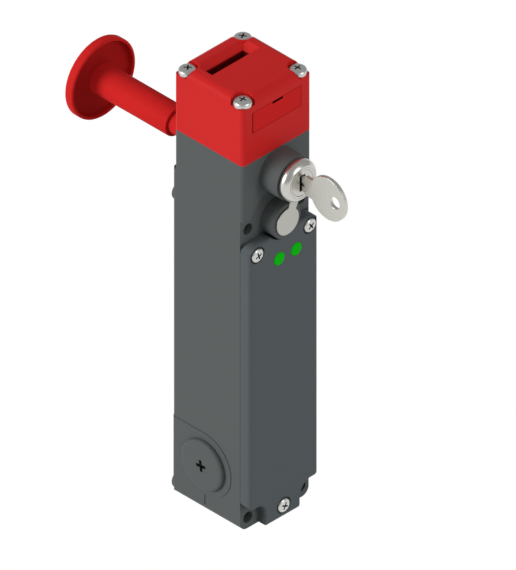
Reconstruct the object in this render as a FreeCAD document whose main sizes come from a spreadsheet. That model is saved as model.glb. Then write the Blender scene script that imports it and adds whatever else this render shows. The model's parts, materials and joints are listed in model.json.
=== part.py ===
import FreeCAD, Part
import math
import os
from types import SimpleNamespace

import Sketcher
from FreeCAD import Placement, Rotation, Vector

# Guard locking switch, in millimetres.
# X runs across the narrow front, Y from the front to the rear, Z upwards.
# The origin is the centre of the cable entry, in the plane of the housing's bottom.

# Each size: its name, its value and what it measures. Radii are named as such.
SIZES = [
    ("body_width", 40, "housing, side to side"),
    ("body_depth", 40, "housing, front face to rear face"),
    ("body_height", 184.9, "housing, bottom to the head's seat"),
    ("body_corner", 1.9, "radius of the housing's vertical edges"),
    ("foot_corner", 4, "radius of the housing's two lower side edges"),
    ("rear_pad_above", 14.1, "top of the rear pad above the auxiliary release"),
    ("rear_pad_rise", 1.2, "rear pad above the rear face"),
    ("rear_boss_radius", 4.3, "bosses round the mounting holes, at the rear"),
    ("rear_boss_rise", 0.45, "rear bosses above the rear pad"),
    ("mount_spacing_across", 31, "mounting holes, side to side"),
    ("mount_low", 5.4, "height of the lower mounting holes"),
    ("mount_hole", 2.65, "radius of the mounting holes"),
    ("seat_depth", 1.5, "lid seat behind the front face"),
    ("seat_above", 5.5, "straight part of the lid seat, above the auxiliary release"),
    ("seat_disc", 16, "radius of the seat round the auxiliary release"),
    ("aux_boss_radius", 8.2, "boss of the auxiliary release"),
    ("aux_boss_reach", 5.6, "auxiliary boss in front of the front face"),
    ("pivot_right", 5.4, "cover pivot, right of the auxiliary release"),
    ("pivot_up", 11.5, "cover pivot, above the auxiliary release"),
    ("pivot_tuck", 0.25, "cover's ear reaches up beside the lock boss by this"),
    ("lug_radius", 2.5, "lug under the cover pivot"),
    ("lock_boss_radius", 10.2, "boss of the key lock"),
    ("lock_boss_reach", 10, "lock boss in front of the front face"),
    ("conduit_back", 2, "side cable entries behind the centre"),
    ("conduit_height", 24.4, "height of the side cable entries"),
    ("conduit_pad_radius", 15.3, "raised pad round a side cable entry"),
    ("conduit_pad_rise", 0.3, "side pads above the side faces"),
    ("conduit_hole", 9.6, "radius of the side cable entries"),
    ("entry_hole", 9.25, "radius of the bottom cable entry"),
    ("side_wall", 3, "side walls of the lower chamber"),
    ("rear_wall", 2.5, "rear wall of the lower chamber"),
    ("chamber_floor", 16, "bottom of the lower chamber"),
    ("partition_height", 12.5, "partition between the chambers"),
    ("rib_inner", 8, "inner side of the two carrier ribs"),
    ("rib_width", 4, "width of a carrier rib"),
    ("rib_rise", 2.5, "carrier ribs in front of the rear wall"),
    ("rib_below", 6, "carrier ribs reach below the terminal strip"),
    ("partition_gap", 0.4, "partition under the spindle's shank"),
    ("neck_above", 7.1, "narrow part of the upper chamber, above the auxiliary release"),
    ("neck_half", 10.3, "half width of the narrow part"),
    ("upper_half", 11.7, "half width of the upper chamber"),
    ("upper_wall", 3.5, "front and rear walls of the upper chamber"),
    ("screw_inset", 4, "head screws, in from the side and front faces"),
    ("head_screw_tap", 1.9, "radius of the tapped holes for the head screws"),
    ("head_screw_room", 2, "tapped holes beyond the head screws"),
    ("head_groove_inner", 12.4, "gasket groove, inner half width"),
    ("head_groove_front", 17.2, "gasket groove, inner half depth"),
    ("groove_width", 1.4, "width of both gasket grooves"),
    ("groove_depth", 1, "depth of both gasket grooves"),
    ("lid_screw_tap", 1.65, "radius of the tapped holes for the lid screws"),
    ("lid_screw_room", 1.3, "tapped holes beyond the lid screws"),
    ("lid_below", 6, "top edge of the lid, below the auxiliary release"),
    ("lid_depth", 5.5, "lid, seat to front face"),
    ("lid_wall", 2.5, "front wall of the lid"),
    ("lid_rim", 3.5, "side rims of the lid"),
    ("lid_recess_low", 17, "lower end of the lid's inner recess"),
    ("lid_head", 8.9, "solid part of the lid above its inner recess"),
    ("lid_corner", 1.5, "radius of the lid's front side edges"),
    ("lid_top_corner", 1.2, "radius of the lid's upper front edge"),
    ("lid_foot_corner", 2.5, "radius of the tongue's lower front edge"),
    ("lid_cutout", 9.3, "radius of the cut-out round the auxiliary boss"),
    ("notch_radius", 6.3, "radius of the notches round the mounting holes"),
    ("lid_side_end", 13, "lower end of the lid's sides"),
    ("lid_screw_inset", 4.7, "upper lid screws, in from the side faces"),
    ("lid_screw_margin", 4.7, "upper lid screws below the lid's top edge"),
    ("lid_screw_low", 6.4, "height of the lower lid screw"),
    ("lid_screw_bore", 1.8, "radius of the lid's screw holes"),
    ("lid_screw_seat", 4, "radius of the recess under a lid screw's head"),
    ("lid_screw_sink", 1.2, "depth of that recess"),
    ("lid_screw_head", 3.25, "radius of a lid screw's head"),
    ("lid_screw_rise", 2, "height of a lid screw's head"),
    ("lid_screw_shank", 1.5, "radius of a lid screw's shank"),
    ("lid_screw_length", 11, "length of a lid screw's shank"),
    ("lens_below", 12.6, "lamps below the lid's top edge"),
    ("lens_left", -2.65, "left lamp, from the centre"),
    ("lens_right", 7.2, "right lamp, from the centre"),
    ("lens_radius", 3.1, "radius of a lens"),
    ("lens_lip", 0.5, "width of a lens's flange behind the lid wall"),
    ("lens_flange_depth", 0.8, "thickness of that flange"),
    ("lens_rise", 0.3, "lens in front of the lid"),
    ("lens_gap", 0.1, "lens to lid"),
    ("head_height", 31.8, "actuator head, seat to top"),
    ("head_top_corner", 4, "radius of the head's upper edges"),
    ("head_corner", 1.8, "radius of the head's vertical edges"),
    ("head_wall_side", 8, "side walls of the head"),
    ("head_wall_front", 5.5, "front and rear walls of the head"),
    ("head_cavity_height", 25.6, "height of the rotor space"),
    ("head_screw_pocket", 5, "radius of the corner pockets"),
    ("head_screw_seat_height", 28, "head screw seats above the head's foot"),
    ("head_screw_bore", 2.2, "radius of the head's screw holes"),
    ("head_screw_head", 4, "radius of a head screw's head"),
    ("head_screw_rise", 2.8, "height of a head screw's head"),
    ("head_screw_shank", 1.75, "radius of a head screw's shank"),
    ("head_screw_length", 36, "length of a head screw's shank"),
    ("slot_width", 21.6, "width of the actuator slots"),
    ("slot_gap", 3.7, "height of the actuator slots"),
    ("slot_back", 8.85, "top slot behind the centre, front slot above the axle"),
    ("funnel_depth", 3.1, "depth of the sloped mouth of the top slot"),
    ("blank_width", 28, "front blank, side to side"),
    ("blank_height", 9.9, "front blank, bottom to top"),
    ("blank_depth", 3, "thickness of the front blank"),
    ("blank_gap", 0.25, "front blank to head"),
    ("pry_left", -2.6, "pry slit, left end"),
    ("pry_right", 3.5, "pry slit, right end"),
    ("pry_height", 1, "height of the pry slit"),
    ("axle_height", 10.65, "rotor axle above the head's foot"),
    ("axle_radius", 2, "radius of the rotor axle"),
    ("axle_reach", 16.3, "half length of the rotor axle"),
    ("running_gap", 0.05, "radial gap of a turning or sliding fit"),
    ("rotor_radius", 10.3, "radius of the rotor"),
    ("rotor_half", 6.2, "half width of the rotor"),
    ("rotor_relief", 5, "radius at the bottom of the lock relief"),
    ("rotor_turn", 60, "turn of the rotor, in degrees"),
    ("rotor_notch", 4.5, "width and depth of the actuator notches"),
    ("notch_lead", 7, "actuator notches past the slots, in degrees"),
    ("hub_radius", 3.4, "radius of the rotor's hubs"),
    ("hub_reach", 11.7, "half length over the rotor's hubs"),
    ("cam_outer", 10, "outer face of the side cam, from the centre"),
    ("cam_high", 6.8, "side cam radius at rest"),
    ("cam_low", 3.8, "side cam radius with the rotor turned"),
    ("bolt_back", 2, "bolt and tappet axes behind the centre"),
    ("bolt_nose_gap", 0.25, "bolt and tappet under the rotor, at rest"),
    ("bolt_nose_width", 8, "bolt nose, along the axle"),
    ("bolt_nose_depth", 3, "bolt nose, front to rear"),
    ("bolt_nose_length", 5.8, "length of the bolt nose"),
    ("bolt_body_radius", 4, "radius of the bolt's thick part"),
    ("bolt_body_length", 14.2, "length of the bolt's thick part"),
    ("bolt_rod_radius", 2.5, "radius of the bolt's rod"),
    ("bolt_rod_hold", 12, "bolt's rod inside the armature"),
    ("tappet_left", 8.3, "guard tappet, left of the centre"),
    ("tappet_radius", 1.5, "radius of the guard tappet and of the arm's pin"),
    ("tappet_above", 12, "lower end of the tappet and of the arm's pin, above the contact blocks' foot"),
    ("arm_room", 10.5, "lock monitor arm below the partition"),
    ("arm_height", 2, "thickness of the lock monitor arm"),
    ("arm_half", 3.2, "half depth of the lock monitor arm"),
    ("arm_left", 4.2, "left end of the lock monitor arm, from the centre"),
    ("arm_pin_right", 8.3, "pin of the arm, right of the centre"),
    ("arm_pin_length", 10.5, "length of the arm's pin"),
    ("contact_gap", 1.5, "lock monitor arm above the contact blocks"),
    ("contact_height", 25, "height of the contact blocks"),
    ("contact_inner", 4.7, "inner faces of the contact blocks"),
    ("contact_clear", 1, "contact blocks inside the side walls"),
    ("contact_depth", 25, "depth of the contact blocks"),
    ("contact_terminal_radius", 1.6, "clamp screws on the contact blocks"),
    ("contact_bore_depth", 18, "depth of the plunger bores"),
    ("yoke_half", 14.5, "half width of the solenoid yoke"),
    ("yoke_height", 42, "height of the solenoid yoke"),
    ("yoke_gap", 5, "solenoid yoke below the contact blocks"),
    ("yoke_sheet", 2.5, "thickness of the solenoid yoke"),
    ("yoke_front", 11, "front of the solenoid yoke, from the centre"),
    ("bobbin_bore", 4.75, "bore of the bobbin"),
    ("bobbin_wall", 1.2, "wall of the bobbin's tube"),
    ("bobbin_flange", 11.2, "radius of the bobbin's flanges"),
    ("bobbin_flange_height", 1.5, "thickness of the bobbin's flanges"),
    ("coil_radius", 10.8, "outer radius of the winding"),
    ("armature_radius", 4.6, "radius of the armature"),
    ("armature_sink", 1, "armature below the yoke's upper face"),
    ("armature_gap", 0.3, "armature above the fixed pole, at rest"),
    ("pole_height", 12, "height of the fixed pole"),
    ("spring_radius", 3.2, "mean radius of the bolt spring"),
    ("spring_wire", 0.45, "half width of the spring's square wire"),
    ("spring_turns", 6, "turns of the bolt spring"),
    ("strip_gap", 3, "terminal strip below the solenoid yoke"),
    ("strip_height", 11, "height of the terminal strip"),
    ("strip_clear", 1, "terminal strip inside the side walls"),
    ("strip_front", 3, "front of the terminal strip, from the centre"),
    ("strip_poles", 8, "number of terminals"),
    ("terminal_radius", 1.5, "radius of a terminal screw"),
    ("terminal_length", 6, "length of a terminal screw"),
    ("board_left", -10, "left edge of the lamp board"),
    ("board_right", 14.5, "right edge of the lamp board"),
    ("board_below", 13.3, "lamp board below the lamps"),
    ("board_above", 3.1, "lamp board above the lamps"),
    ("board_sheet", 1.6, "thickness of the lamp board"),
    ("board_gap", 0.3, "lamp chips behind the lenses"),
    ("lamp_half", 1.25, "half width of a lamp chip"),
    ("lid_gasket_wall", 1, "lid gasket, inner side outside the recess"),
    ("gasket_gap", 0.1, "gaskets inside their grooves"),
    ("barrel_radius", 8, "radius of the lock barrel"),
    ("barrel_end", 6.5, "rear end of the barrel in front of the centre"),
    ("bezel_foot", 9.2, "radius of the bezel at the boss"),
    ("bezel_radius", 9.7, "largest radius of the bezel"),
    ("bezel_wide_at", 2.2, "widest part of the bezel before the boss"),
    ("bezel_reach", 4.9, "front of the bezel before the boss"),
    ("bezel_face", 7.8, "radius of the bezel's front face"),
    ("bezel_gap", 0.2, "bezel before the lock boss"),
    ("core_radius", 6, "radius of the lock core"),
    ("core_sink", 0.2, "lock core behind the bezel's face"),
    ("keyway_width", 2, "width of the keyway"),
    ("keyway_mouth", 3.4, "width of the keyway's mouth"),
    ("keyway_mouth_depth", 1.2, "depth of that mouth"),
    ("keyway_height", 7.8, "height of the keyway"),
    ("keyway_end", 8, "end of the keyway in front of the centre"),
    ("key_sheet", 1.8, "thickness of the key"),
    ("key_blade_height", 7, "height of the key's blade"),
    ("key_blade_end", 10, "tip of the key in front of the centre"),
    ("key_bow_radius", 10.25, "radius of the key's bow"),
    ("key_bow_front", 50.4, "centre of the bow in front of the centre"),
    ("key_hole_radius", 2.9, "hole in the key's bow"),
    ("key_hole_front", 54.5, "that hole in front of the centre"),
    ("key_shoulder_height", 9.4, "height of the key's shoulder"),
    ("key_shoulder_front", 37, "key shoulder in front of the centre"),
    ("key_groove_width", 1.5, "width of the long groove in the blade"),
    ("key_groove_depth", 0.5, "depth of that groove"),
    ("nut_inset", 0.6, "ring nut inside the outline of the lock boss"),
    ("nut_height", 3, "height of the ring nut"),
    ("lock_cam_sheet", 2, "thickness of the lock cam"),
    ("lock_cam_hub", 4, "hub radius of the lock cam"),
    ("lock_cam_reach", 7.5, "tongue radius of the lock cam"),
    ("lock_cam_half", 1.8, "half width of the cam's tongue"),
    ("cover_radius", 6.35, "radius of the release cover"),
    ("cover_sheet", 0.8, "thickness of the release cover"),
    ("cover_gap", 0.1, "release cover before the boss"),
    ("cover_ear", 2.35, "radius of the cover's ear round its pin"),
    ("rivet_radius", 1.2, "radius of the cover's pin"),
    ("rivet_head", 1.8, "radius of the pin's head"),
    ("rivet_rise", 0.6, "height of the pin's head"),
    ("rivet_depth", 4, "depth of the pin in its lug"),
    ("spindle_head", 5.4, "head radius of the auxiliary release spindle"),
    ("spindle_sink", 0.3, "spindle head behind the boss's face"),
    ("spindle_head_height", 2.5, "height of the spindle's head"),
    ("spindle_shank", 4, "shank radius of the spindle"),
    ("spindle_end", 12, "end of the spindle's shank in front of the centre"),
    ("spindle_pin", 1.2, "radius of the spindle's eccentric pin"),
    ("spindle_throw", 2.4, "throw of the eccentric pin"),
    ("spindle_pin_end", 8, "end of the eccentric pin in front of the centre"),
    ("spindle_key", 2.6, "radius of the triangular recess"),
    ("spindle_groove", 1.1, "depth of the spindle's seal groove"),
    ("seal_width", 1.1, "width of the spindle's seal"),
    ("seal_gap", 0.1, "spindle seal inside its groove"),
    ("escape_drop", 15.8, "escape axis below the head's seat"),
    ("escape_rod", 5.25, "radius of the escape rod"),
    ("escape_clear", 1, "escape rod behind the bolt when pushed in"),
    ("escape_travel", 6, "stroke of the escape button"),
    ("escape_sleeve", 6.85, "radius of the button's sleeve"),
    ("escape_sleeve_start", 38.3, "front end of the sleeve, from the centre"),
    ("escape_spigot", 4, "radius of the rod's spigot in the sleeve"),
    ("escape_spigot_length", 16.7, "length of that spigot"),
    ("escape_spigot_step", 1, "spigot shoulder inside the sleeve"),
    ("escape_bush_radius", 7, "radius of the escape bush"),
    ("escape_bush_inner", 15.2, "inner end of the bush, from the centre"),
    ("escape_clip_radius", 6.5, "radius of the retaining clip"),
    ("escape_clip_groove", 4.5, "radius at the bottom of the clip's groove"),
    ("escape_clip_sheet", 0.8, "thickness of the retaining clip"),
    ("escape_clip_gap", 0.1, "retaining clip to bush"),
    ("knob_radius", 18.65, "radius of the mushroom button"),
    ("knob_rim_at", 81.9, "front of the button's rim, from the centre"),
    ("knob_rim", 2.8, "thickness of the button at its rim"),
    ("knob_lip", 2.4, "width of the button's flat lip"),
    ("knob_dish", 2.2, "depth of the dish behind the lip"),
    ("knob_crown", 2.3, "bulge of the button's rear face"),
    ("knob_root", 4, "radius between sleeve and dish"),
    ("plug_radius", 12, "radius of a blanking plug's flange"),
    ("plug_rise", 2.2, "blanking plug before its pad"),
    ("plug_rounding", 1.2, "radius of the plug's rim"),
    ("plug_shank", 9.55, "radius of a plug's shank"),
    ("plug_recess_half", 1, "half width of the arms of the plug's cross"),
    ("plug_recess_reach", 3.5, "reach of the arms of the plug's cross"),
    ("plug_recess_depth", 1.6, "depth of the plug's cross"),
    ("plug_bore", 7, "inner radius of the hollow plug"),
    ("plug_seal_outer", 11.2, "outer radius of the plug seal"),
    ("plug_seal_sheet", 0.5, "thickness of the plug seal"),
    ("cross_half", 0.45, "half width of a screw's cross recess"),
    ("cross_reach", 1.7, "reach of a screw's cross recess"),
    ("cross_depth", 1.1, "depth of a screw's cross recess"),
]

PLANES = {"X": "YZ_Plane", "Y": "XZ_Plane", "Z": "XY_Plane"}

doc = FreeCAD.newDocument("guard_locking_switch")


class Length:
    """A length as a number and as the sheet expression that gives it."""

    def __init__(self, text, number):
        self.text = text
        self.number = number

    def __add__(self, other):
        other = length(other)
        return Length(f"({self.text} + {other.text})", self.number + other.number)

    def __sub__(self, other):
        other = length(other)
        return Length(f"({self.text} - {other.text})", self.number - other.number)

    def __mul__(self, factor):
        return Length(f"({self.text} * {factor})", self.number * factor)

    def __truediv__(self, divisor):
        return Length(f"({self.text} / {divisor})", self.number / divisor)

    def __neg__(self):
        return length(0) - self

    def __radd__(self, other):
        return length(other) + self

    def __rsub__(self, other):
        return length(other) - self

    __rmul__ = __mul__


def length(value):
    """Lets plain numbers and sheet sizes be used alike."""
    if isinstance(value, Length):
        return value
    return Length(str(value), float(value))


def fill_sheet():
    """Writes the sizes to the sheet and returns them by name."""
    sheet = doc.addObject("Spreadsheet::Sheet", "Sizes")
    for row, (alias, value, note) in enumerate(SIZES, start=1):
        sheet.set(f"A{row}", note)
        sheet.set(f"B{row}", str(value))
        sheet.setAlias(f"B{row}", alias)
    doc.recompute()
    names = {alias: Length(f"Sizes.{alias}", float(value)) for alias, value, note in SIZES}
    return SimpleNamespace(**names)


s = fill_sheet()

# Places that several pieces share.
HALF = s.body_width / 2
DEEP = s.body_depth / 2
REAR = DEEP + s.rear_pad_rise
SEAT = s.seat_depth - DEEP
LID_FRONT = SEAT - s.lid_depth
LID_INSIDE = LID_FRONT + s.lid_wall
MOUNT_SIDE = s.mount_spacing_across / 2
LOCK = s.body_height - s.lock_boss_radius
PIVOT = LOCK - s.lock_boss_radius - s.cover_ear + s.pivot_tuck
AUX = PIVOT - s.pivot_up
AUX_FACE = -DEEP - s.aux_boss_reach
LOCK_FACE = -DEEP - s.lock_boss_reach
BEZEL_FOOT = LOCK_FACE - s.bezel_gap
BEZEL_FACE = BEZEL_FOOT - s.bezel_reach
UPPER_DEEP = DEEP - s.upper_wall
REAR_PAD_TOP = AUX + s.rear_pad_above
LID_TOP = AUX - s.lid_below
LID_RECESS_TOP = LID_TOP - s.lid_head
LENS = LID_TOP - s.lens_below
PARTITION_TOP = AUX - s.spindle_shank - s.partition_gap
CHAMBER_TOP = PARTITION_TOP - s.partition_height
NECK_TOP = AUX + s.neck_above
CHAMBER_HALF = HALF - s.side_wall
CONTACT_OUTER = CHAMBER_HALF - s.contact_clear
STRIP_HALF = CHAMBER_HALF - s.strip_clear
LID_SCREW_SIDE = HALF - s.lid_screw_inset
CHAMBER_REAR = DEEP - s.rear_wall
RIB_FACE = CHAMBER_REAR - s.rib_rise
HEAD_TOP = s.body_height + s.head_height
HEAD_SCREW_SIDE = HALF - s.screw_inset
HEAD_SCREW_BACK = DEEP - s.screw_inset
HEAD_SCREW_SEAT = s.body_height + s.head_screw_seat_height
HEAD_CAVITY_HALF = HALF - s.head_wall_side
HEAD_CAVITY_DEEP = DEEP - s.head_wall_front
HEAD_CAVITY_TOP = s.body_height + s.head_cavity_height
AXLE = s.body_height + s.axle_height
FRONT_SLOT = AXLE + s.slot_back
ROTOR_BOTTOM = AXLE - s.rotor_radius
BOLT_TOP = ROTOR_BOTTOM - s.bolt_nose_gap
BOLT_SHOULDER = BOLT_TOP - s.bolt_nose_length
BOLT_STEP = BOLT_SHOULDER - s.bolt_body_length
TAPPET_TOP = AXLE - s.cam_high - s.bolt_nose_gap
ESCAPE = s.body_height - s.escape_drop
ESCAPE_ROD_START = s.bolt_back + s.bolt_body_radius + s.escape_clear + s.escape_travel
ARM_LOW = CHAMBER_TOP - s.arm_room
CONTACT_LOW = ARM_LOW - s.contact_gap - s.contact_height
TAPPET_END = CONTACT_LOW + s.tappet_above
YOKE_HIGH = CONTACT_LOW - s.yoke_gap
YOKE_LOW = YOKE_HIGH - s.yoke_height
ARMATURE_TOP = YOKE_HIGH - s.armature_sink
BOLT_ROD_END = ARMATURE_TOP - s.bolt_rod_hold
STRIP_LOW = YOKE_LOW - s.strip_gap - s.strip_height
BOBBIN_LOW = YOKE_LOW + s.yoke_sheet
BOBBIN_HIGH = YOKE_HIGH - s.yoke_sheet
POLE_TOP = BOBBIN_LOW + s.pole_height
PLUG_FOOT = HALF + s.conduit_pad_rise
HEAD_SCREW_TIP = HEAD_SCREW_SEAT - s.head_screw_length
LID_SCREW_TIP = LID_FRONT + s.lid_screw_sink + s.lid_screw_length
HEAD_SCREWS = [
    (x, y)
    for x in (-HEAD_SCREW_SIDE, HEAD_SCREW_SIDE)
    for y in (-HEAD_SCREW_BACK, HEAD_SCREW_BACK)
]
MOUNT_HOLES = [(x, z) for x in (-MOUNT_SIDE, MOUNT_SIDE) for z in (s.mount_low, AUX)]
LID_SCREWS = [
    (-LID_SCREW_SIDE, LID_TOP - s.lid_screw_margin),
    (LID_SCREW_SIDE, LID_TOP - s.lid_screw_margin),
    (length(0), s.lid_screw_low),
]


def bind(item, name, value):
    """Ties a property to the sheet."""
    item.setExpression(name, length(value).text)


def new_body(name):
    body = doc.addObject("PartDesign::Body", name)
    body.Label = name
    body.AllowCompound = True
    return body


def origin_plane(body, axis):
    return next(item for item in body.Origin.OriginFeatures if item.Role == PLANES[axis])


def pin(sketch, geometry, point, x, y):
    """Fixes one point of a sketch at two lengths from the origin."""
    for kind, value in (("DistanceX", x), ("DistanceY", y)):
        value = length(value)
        index = sketch.addConstraint(Sketcher.Constraint(kind, -1, 1, geometry, point, value.number))
        bind(sketch, f"Constraints[{index}]", value)


def fix_radius(sketch, geometry, radius):
    radius = length(radius)
    index = sketch.addConstraint(Sketcher.Constraint("Radius", geometry, radius.number))
    bind(sketch, f"Constraints[{index}]", radius)


def flat(x, y):
    return Vector(length(x).number, length(y).number, 0)


def circle(x, y, radius):
    def draw(sketch):
        edge = Part.Circle(flat(x, y), Vector(0, 0, 1), length(radius).number)
        geometry = sketch.addGeometry(edge)
        pin(sketch, geometry, 3, x, y)
        fix_radius(sketch, geometry, radius)
    return draw


def path(*pieces):
    """A closed outline of points. A point may carry the radius and middle of the arc that leaves it."""
    def draw(sketch):
        count = len(pieces)
        ends = []
        for index, piece in enumerate(pieces):
            start = flat(*piece[:2])
            finish = flat(*pieces[(index + 1) % count][:2])
            if len(piece) == 2:
                geometry = sketch.addGeometry(Part.LineSegment(start, finish))
                ends.append((geometry, 1, 2))
                continue
            middle = flat(*piece[3])
            if (middle - start).cross(finish - middle).z > 0:
                geometry = sketch.addGeometry(Part.Arc(start, middle, finish))
                ends.append((geometry, 1, 2))
            else:
                geometry = sketch.addGeometry(Part.Arc(finish, middle, start))
                ends.append((geometry, 2, 1))
            fix_radius(sketch, geometry, piece[2])
        for index, (geometry, start, finish) in enumerate(ends):
            follower, first, last = ends[(index + 1) % count]
            sketch.addConstraint(Sketcher.Constraint("Coincident", geometry, finish, follower, first))
        for (geometry, start, finish), piece in zip(ends, pieces):
            pin(sketch, geometry, start, piece[0], piece[1])
    return draw


def rectangle(x_low, x_high, y_low, y_high):
    return path((x_low, y_low), (x_high, y_low), (x_high, y_high), (x_low, y_high))


def rounded(x_low, x_high, y_low, y_high, low_radius, high_radius):
    """A rectangle with one radius for its lower corners and one for its upper ones; 0 leaves them sharp."""
    pieces = []
    turns = (
        (x_low, y_low, low_radius, (0, 1), (1, 0)),
        (x_high, y_low, low_radius, (-1, 0), (0, 1)),
        (x_high, y_high, high_radius, (0, -1), (-1, 0)),
        (x_low, y_high, high_radius, (1, 0), (0, -1)),
    )
    for x, y, radius, before, after in turns:
        pieces += corner(x, y, radius, before, after)
    return path(*pieces)


def corner(x, y, radius, before, after):
    """One square corner of an outline: the arc that rounds it, and the point where the arc ends."""
    if radius == 0:
        return [(x, y)]
    x, y = length(x), length(y)
    start = (x + radius * before[0], y + radius * before[1])
    finish = (x + radius * after[0], y + radius * after[1])
    inset = radius * (1 - math.sqrt(0.5))
    middle = (x + inset * (before[0] + after[0]), y + inset * (before[1] + after[1]))
    return [(start[0], start[1], radius, middle), finish]


def corner_waste(x, y, right, up, radius):
    """What is cut away outside a rounded corner at (x, y), whose solid lies towards (-right, -up)."""
    before, after = (-right, 0), (0, -up)
    arc, finish = corner(x, y, radius, before, after)
    return path(arc, finish, (x, y))


def cross(x, y, half, reach):
    """A plus sign, for a cross recess."""
    signs = ((-1, -1), (1, -1), (1, 1), (-1, 1))
    points = []
    for right, up in signs:
        inner = (x + half * right, y + half * up)
        beside = (x + reach * right, y + half * up)
        beyond = (x + half * right, y + reach * up)
        points += [beside, inner, beyond] if right * up > 0 else [beyond, inner, beside]
    order = []
    for start in range(0, len(points), 3):
        order += points[start:start + 3]
    return path(*order)


def sketch_at(body, axis, level, shapes):
    """A sketch across one axis, at a level on it. Sketch axes are X-Y, X-Z or Y-Z."""
    sketch = body.newObject("Sketcher::SketchObject", "Sketch")
    sketch.AttachmentSupport = (origin_plane(body, axis), [""])
    sketch.MapMode = "FlatFace"
    level = length(level)
    bind(sketch, "AttachmentOffset.Base.z", -level if axis == "Y" else level)
    for draw in shapes:
        draw(sketch)
    return sketch


def grow(body, axis, low, high, *shapes):
    """Adds material over the outlines, from one level to the other."""
    low, high = length(low), length(high)
    sketch = sketch_at(body, axis, high if axis == "Y" else low, shapes)
    pad = body.newObject("PartDesign::Pad", "Pad")
    pad.Profile = sketch
    bind(pad, "Length", high - low)


def carve(body, axis, low, high, *shapes):
    """Removes material over the outlines, from one level to the other."""
    low, high = length(low), length(high)
    sketch = sketch_at(body, axis, low if axis == "Y" else high, shapes)
    pocket = body.newObject("PartDesign::Pocket", "Pocket")
    pocket.Profile = sketch
    bind(pocket, "Length", high - low)


def turn(body, axis, *profile, kind="PartDesign::Revolution"):
    """Turns a profile of (place along the axis, radius) points about the body's own X, Y or Z axis."""
    if axis == "Z":
        profile = [(radius, along) + tuple(arc) for along, radius, *arc in profile]
    plane, line = {"X": ("Z", "H_Axis"), "Y": ("X", "H_Axis"), "Z": ("Y", "V_Axis")}[axis]
    sketch = sketch_at(body, plane, 0, [path(*profile)])
    feature = body.newObject(kind, "Turned")
    feature.Profile = sketch
    feature.ReferenceAxis = (sketch, [line])
    feature.Angle = 360


def place(body, x, y, z):
    for name, value in (("x", x), ("y", y), ("z", z)):
        bind(body, f"Placement.Base.{name}", value)


def spans(edge, axis):
    """The lowest and highest place of an edge along an axis."""
    box = edge.BoundBox
    return {"X": (box.XMin, box.XMax), "Y": (box.YMin, box.YMax), "Z": (box.ZMin, box.ZMax)}[axis]


def lies(edge, axis, level):
    """Whether an edge lies wholly at a level of an axis."""
    level = length(level).number
    return all(abs(place - level) < 1e-3 for place in spans(edge, axis))


def reaches(edge, axis, low, high):
    """Whether an edge lies between two levels of an axis."""
    low, high = length(low).number, length(high).number
    start, finish = spans(edge, axis)
    return start > low - 1e-3 and finish < high + 1e-3


def round_edges(body, radius, chosen, kind="PartDesign::Fillet"):
    """Rounds, or chamfers, the edges that a test picks out."""
    doc.recompute()
    base = body.Tip
    edges = [f"Edge{index}" for index, edge in enumerate(base.Shape.Edges, start=1) if chosen(edge)]
    if not edges:
        raise ValueError(f"no edge to round on {body.Label}")
    feature = body.newObject(kind, "Rounded")
    feature.Base = (base, edges)
    bind(feature, "Radius" if kind.endswith("Fillet") else "Size", radius)
    doc.recompute()
    if feature.Shape.isNull() or not feature.Shape.isValid():
        raise ValueError(f"an edge of {body.Label} can't be rounded")


def is_circle(edge, radius):
    radius = length(radius).number
    return isinstance(edge.Curve, Part.Circle) and abs(edge.Curve.Radius - radius) < 1e-3


def pan_screws(name, axis, places, levels, head, shank):
    """Pan-head screws with a cross recess. The levels are those of the face, the seat and the tip."""
    body = new_body(name)
    face, seat, tip = levels
    outward = 1 if length(face).number > length(seat).number else -1
    heads = [circle(x, y, head) for x, y in places]
    shanks = [circle(x, y, shank) for x, y in places]
    recesses = [cross(x, y, s.cross_half, s.cross_reach) for x, y in places]
    if outward > 0:
        grow(body, axis, tip, seat, *shanks)
        grow(body, axis, seat, face, *heads)
    else:
        grow(body, axis, seat, tip, *shanks)
        grow(body, axis, face, seat, *heads)
    round_edges(body, (face - seat) * outward * 0.4, lambda edge: lies(edge, axis, face),
                "PartDesign::Chamfer")
    if outward > 0:
        carve(body, axis, face - s.cross_depth, face, *recesses)
    else:
        carve(body, axis, face, face + s.cross_depth, *recesses)
    return body


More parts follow.
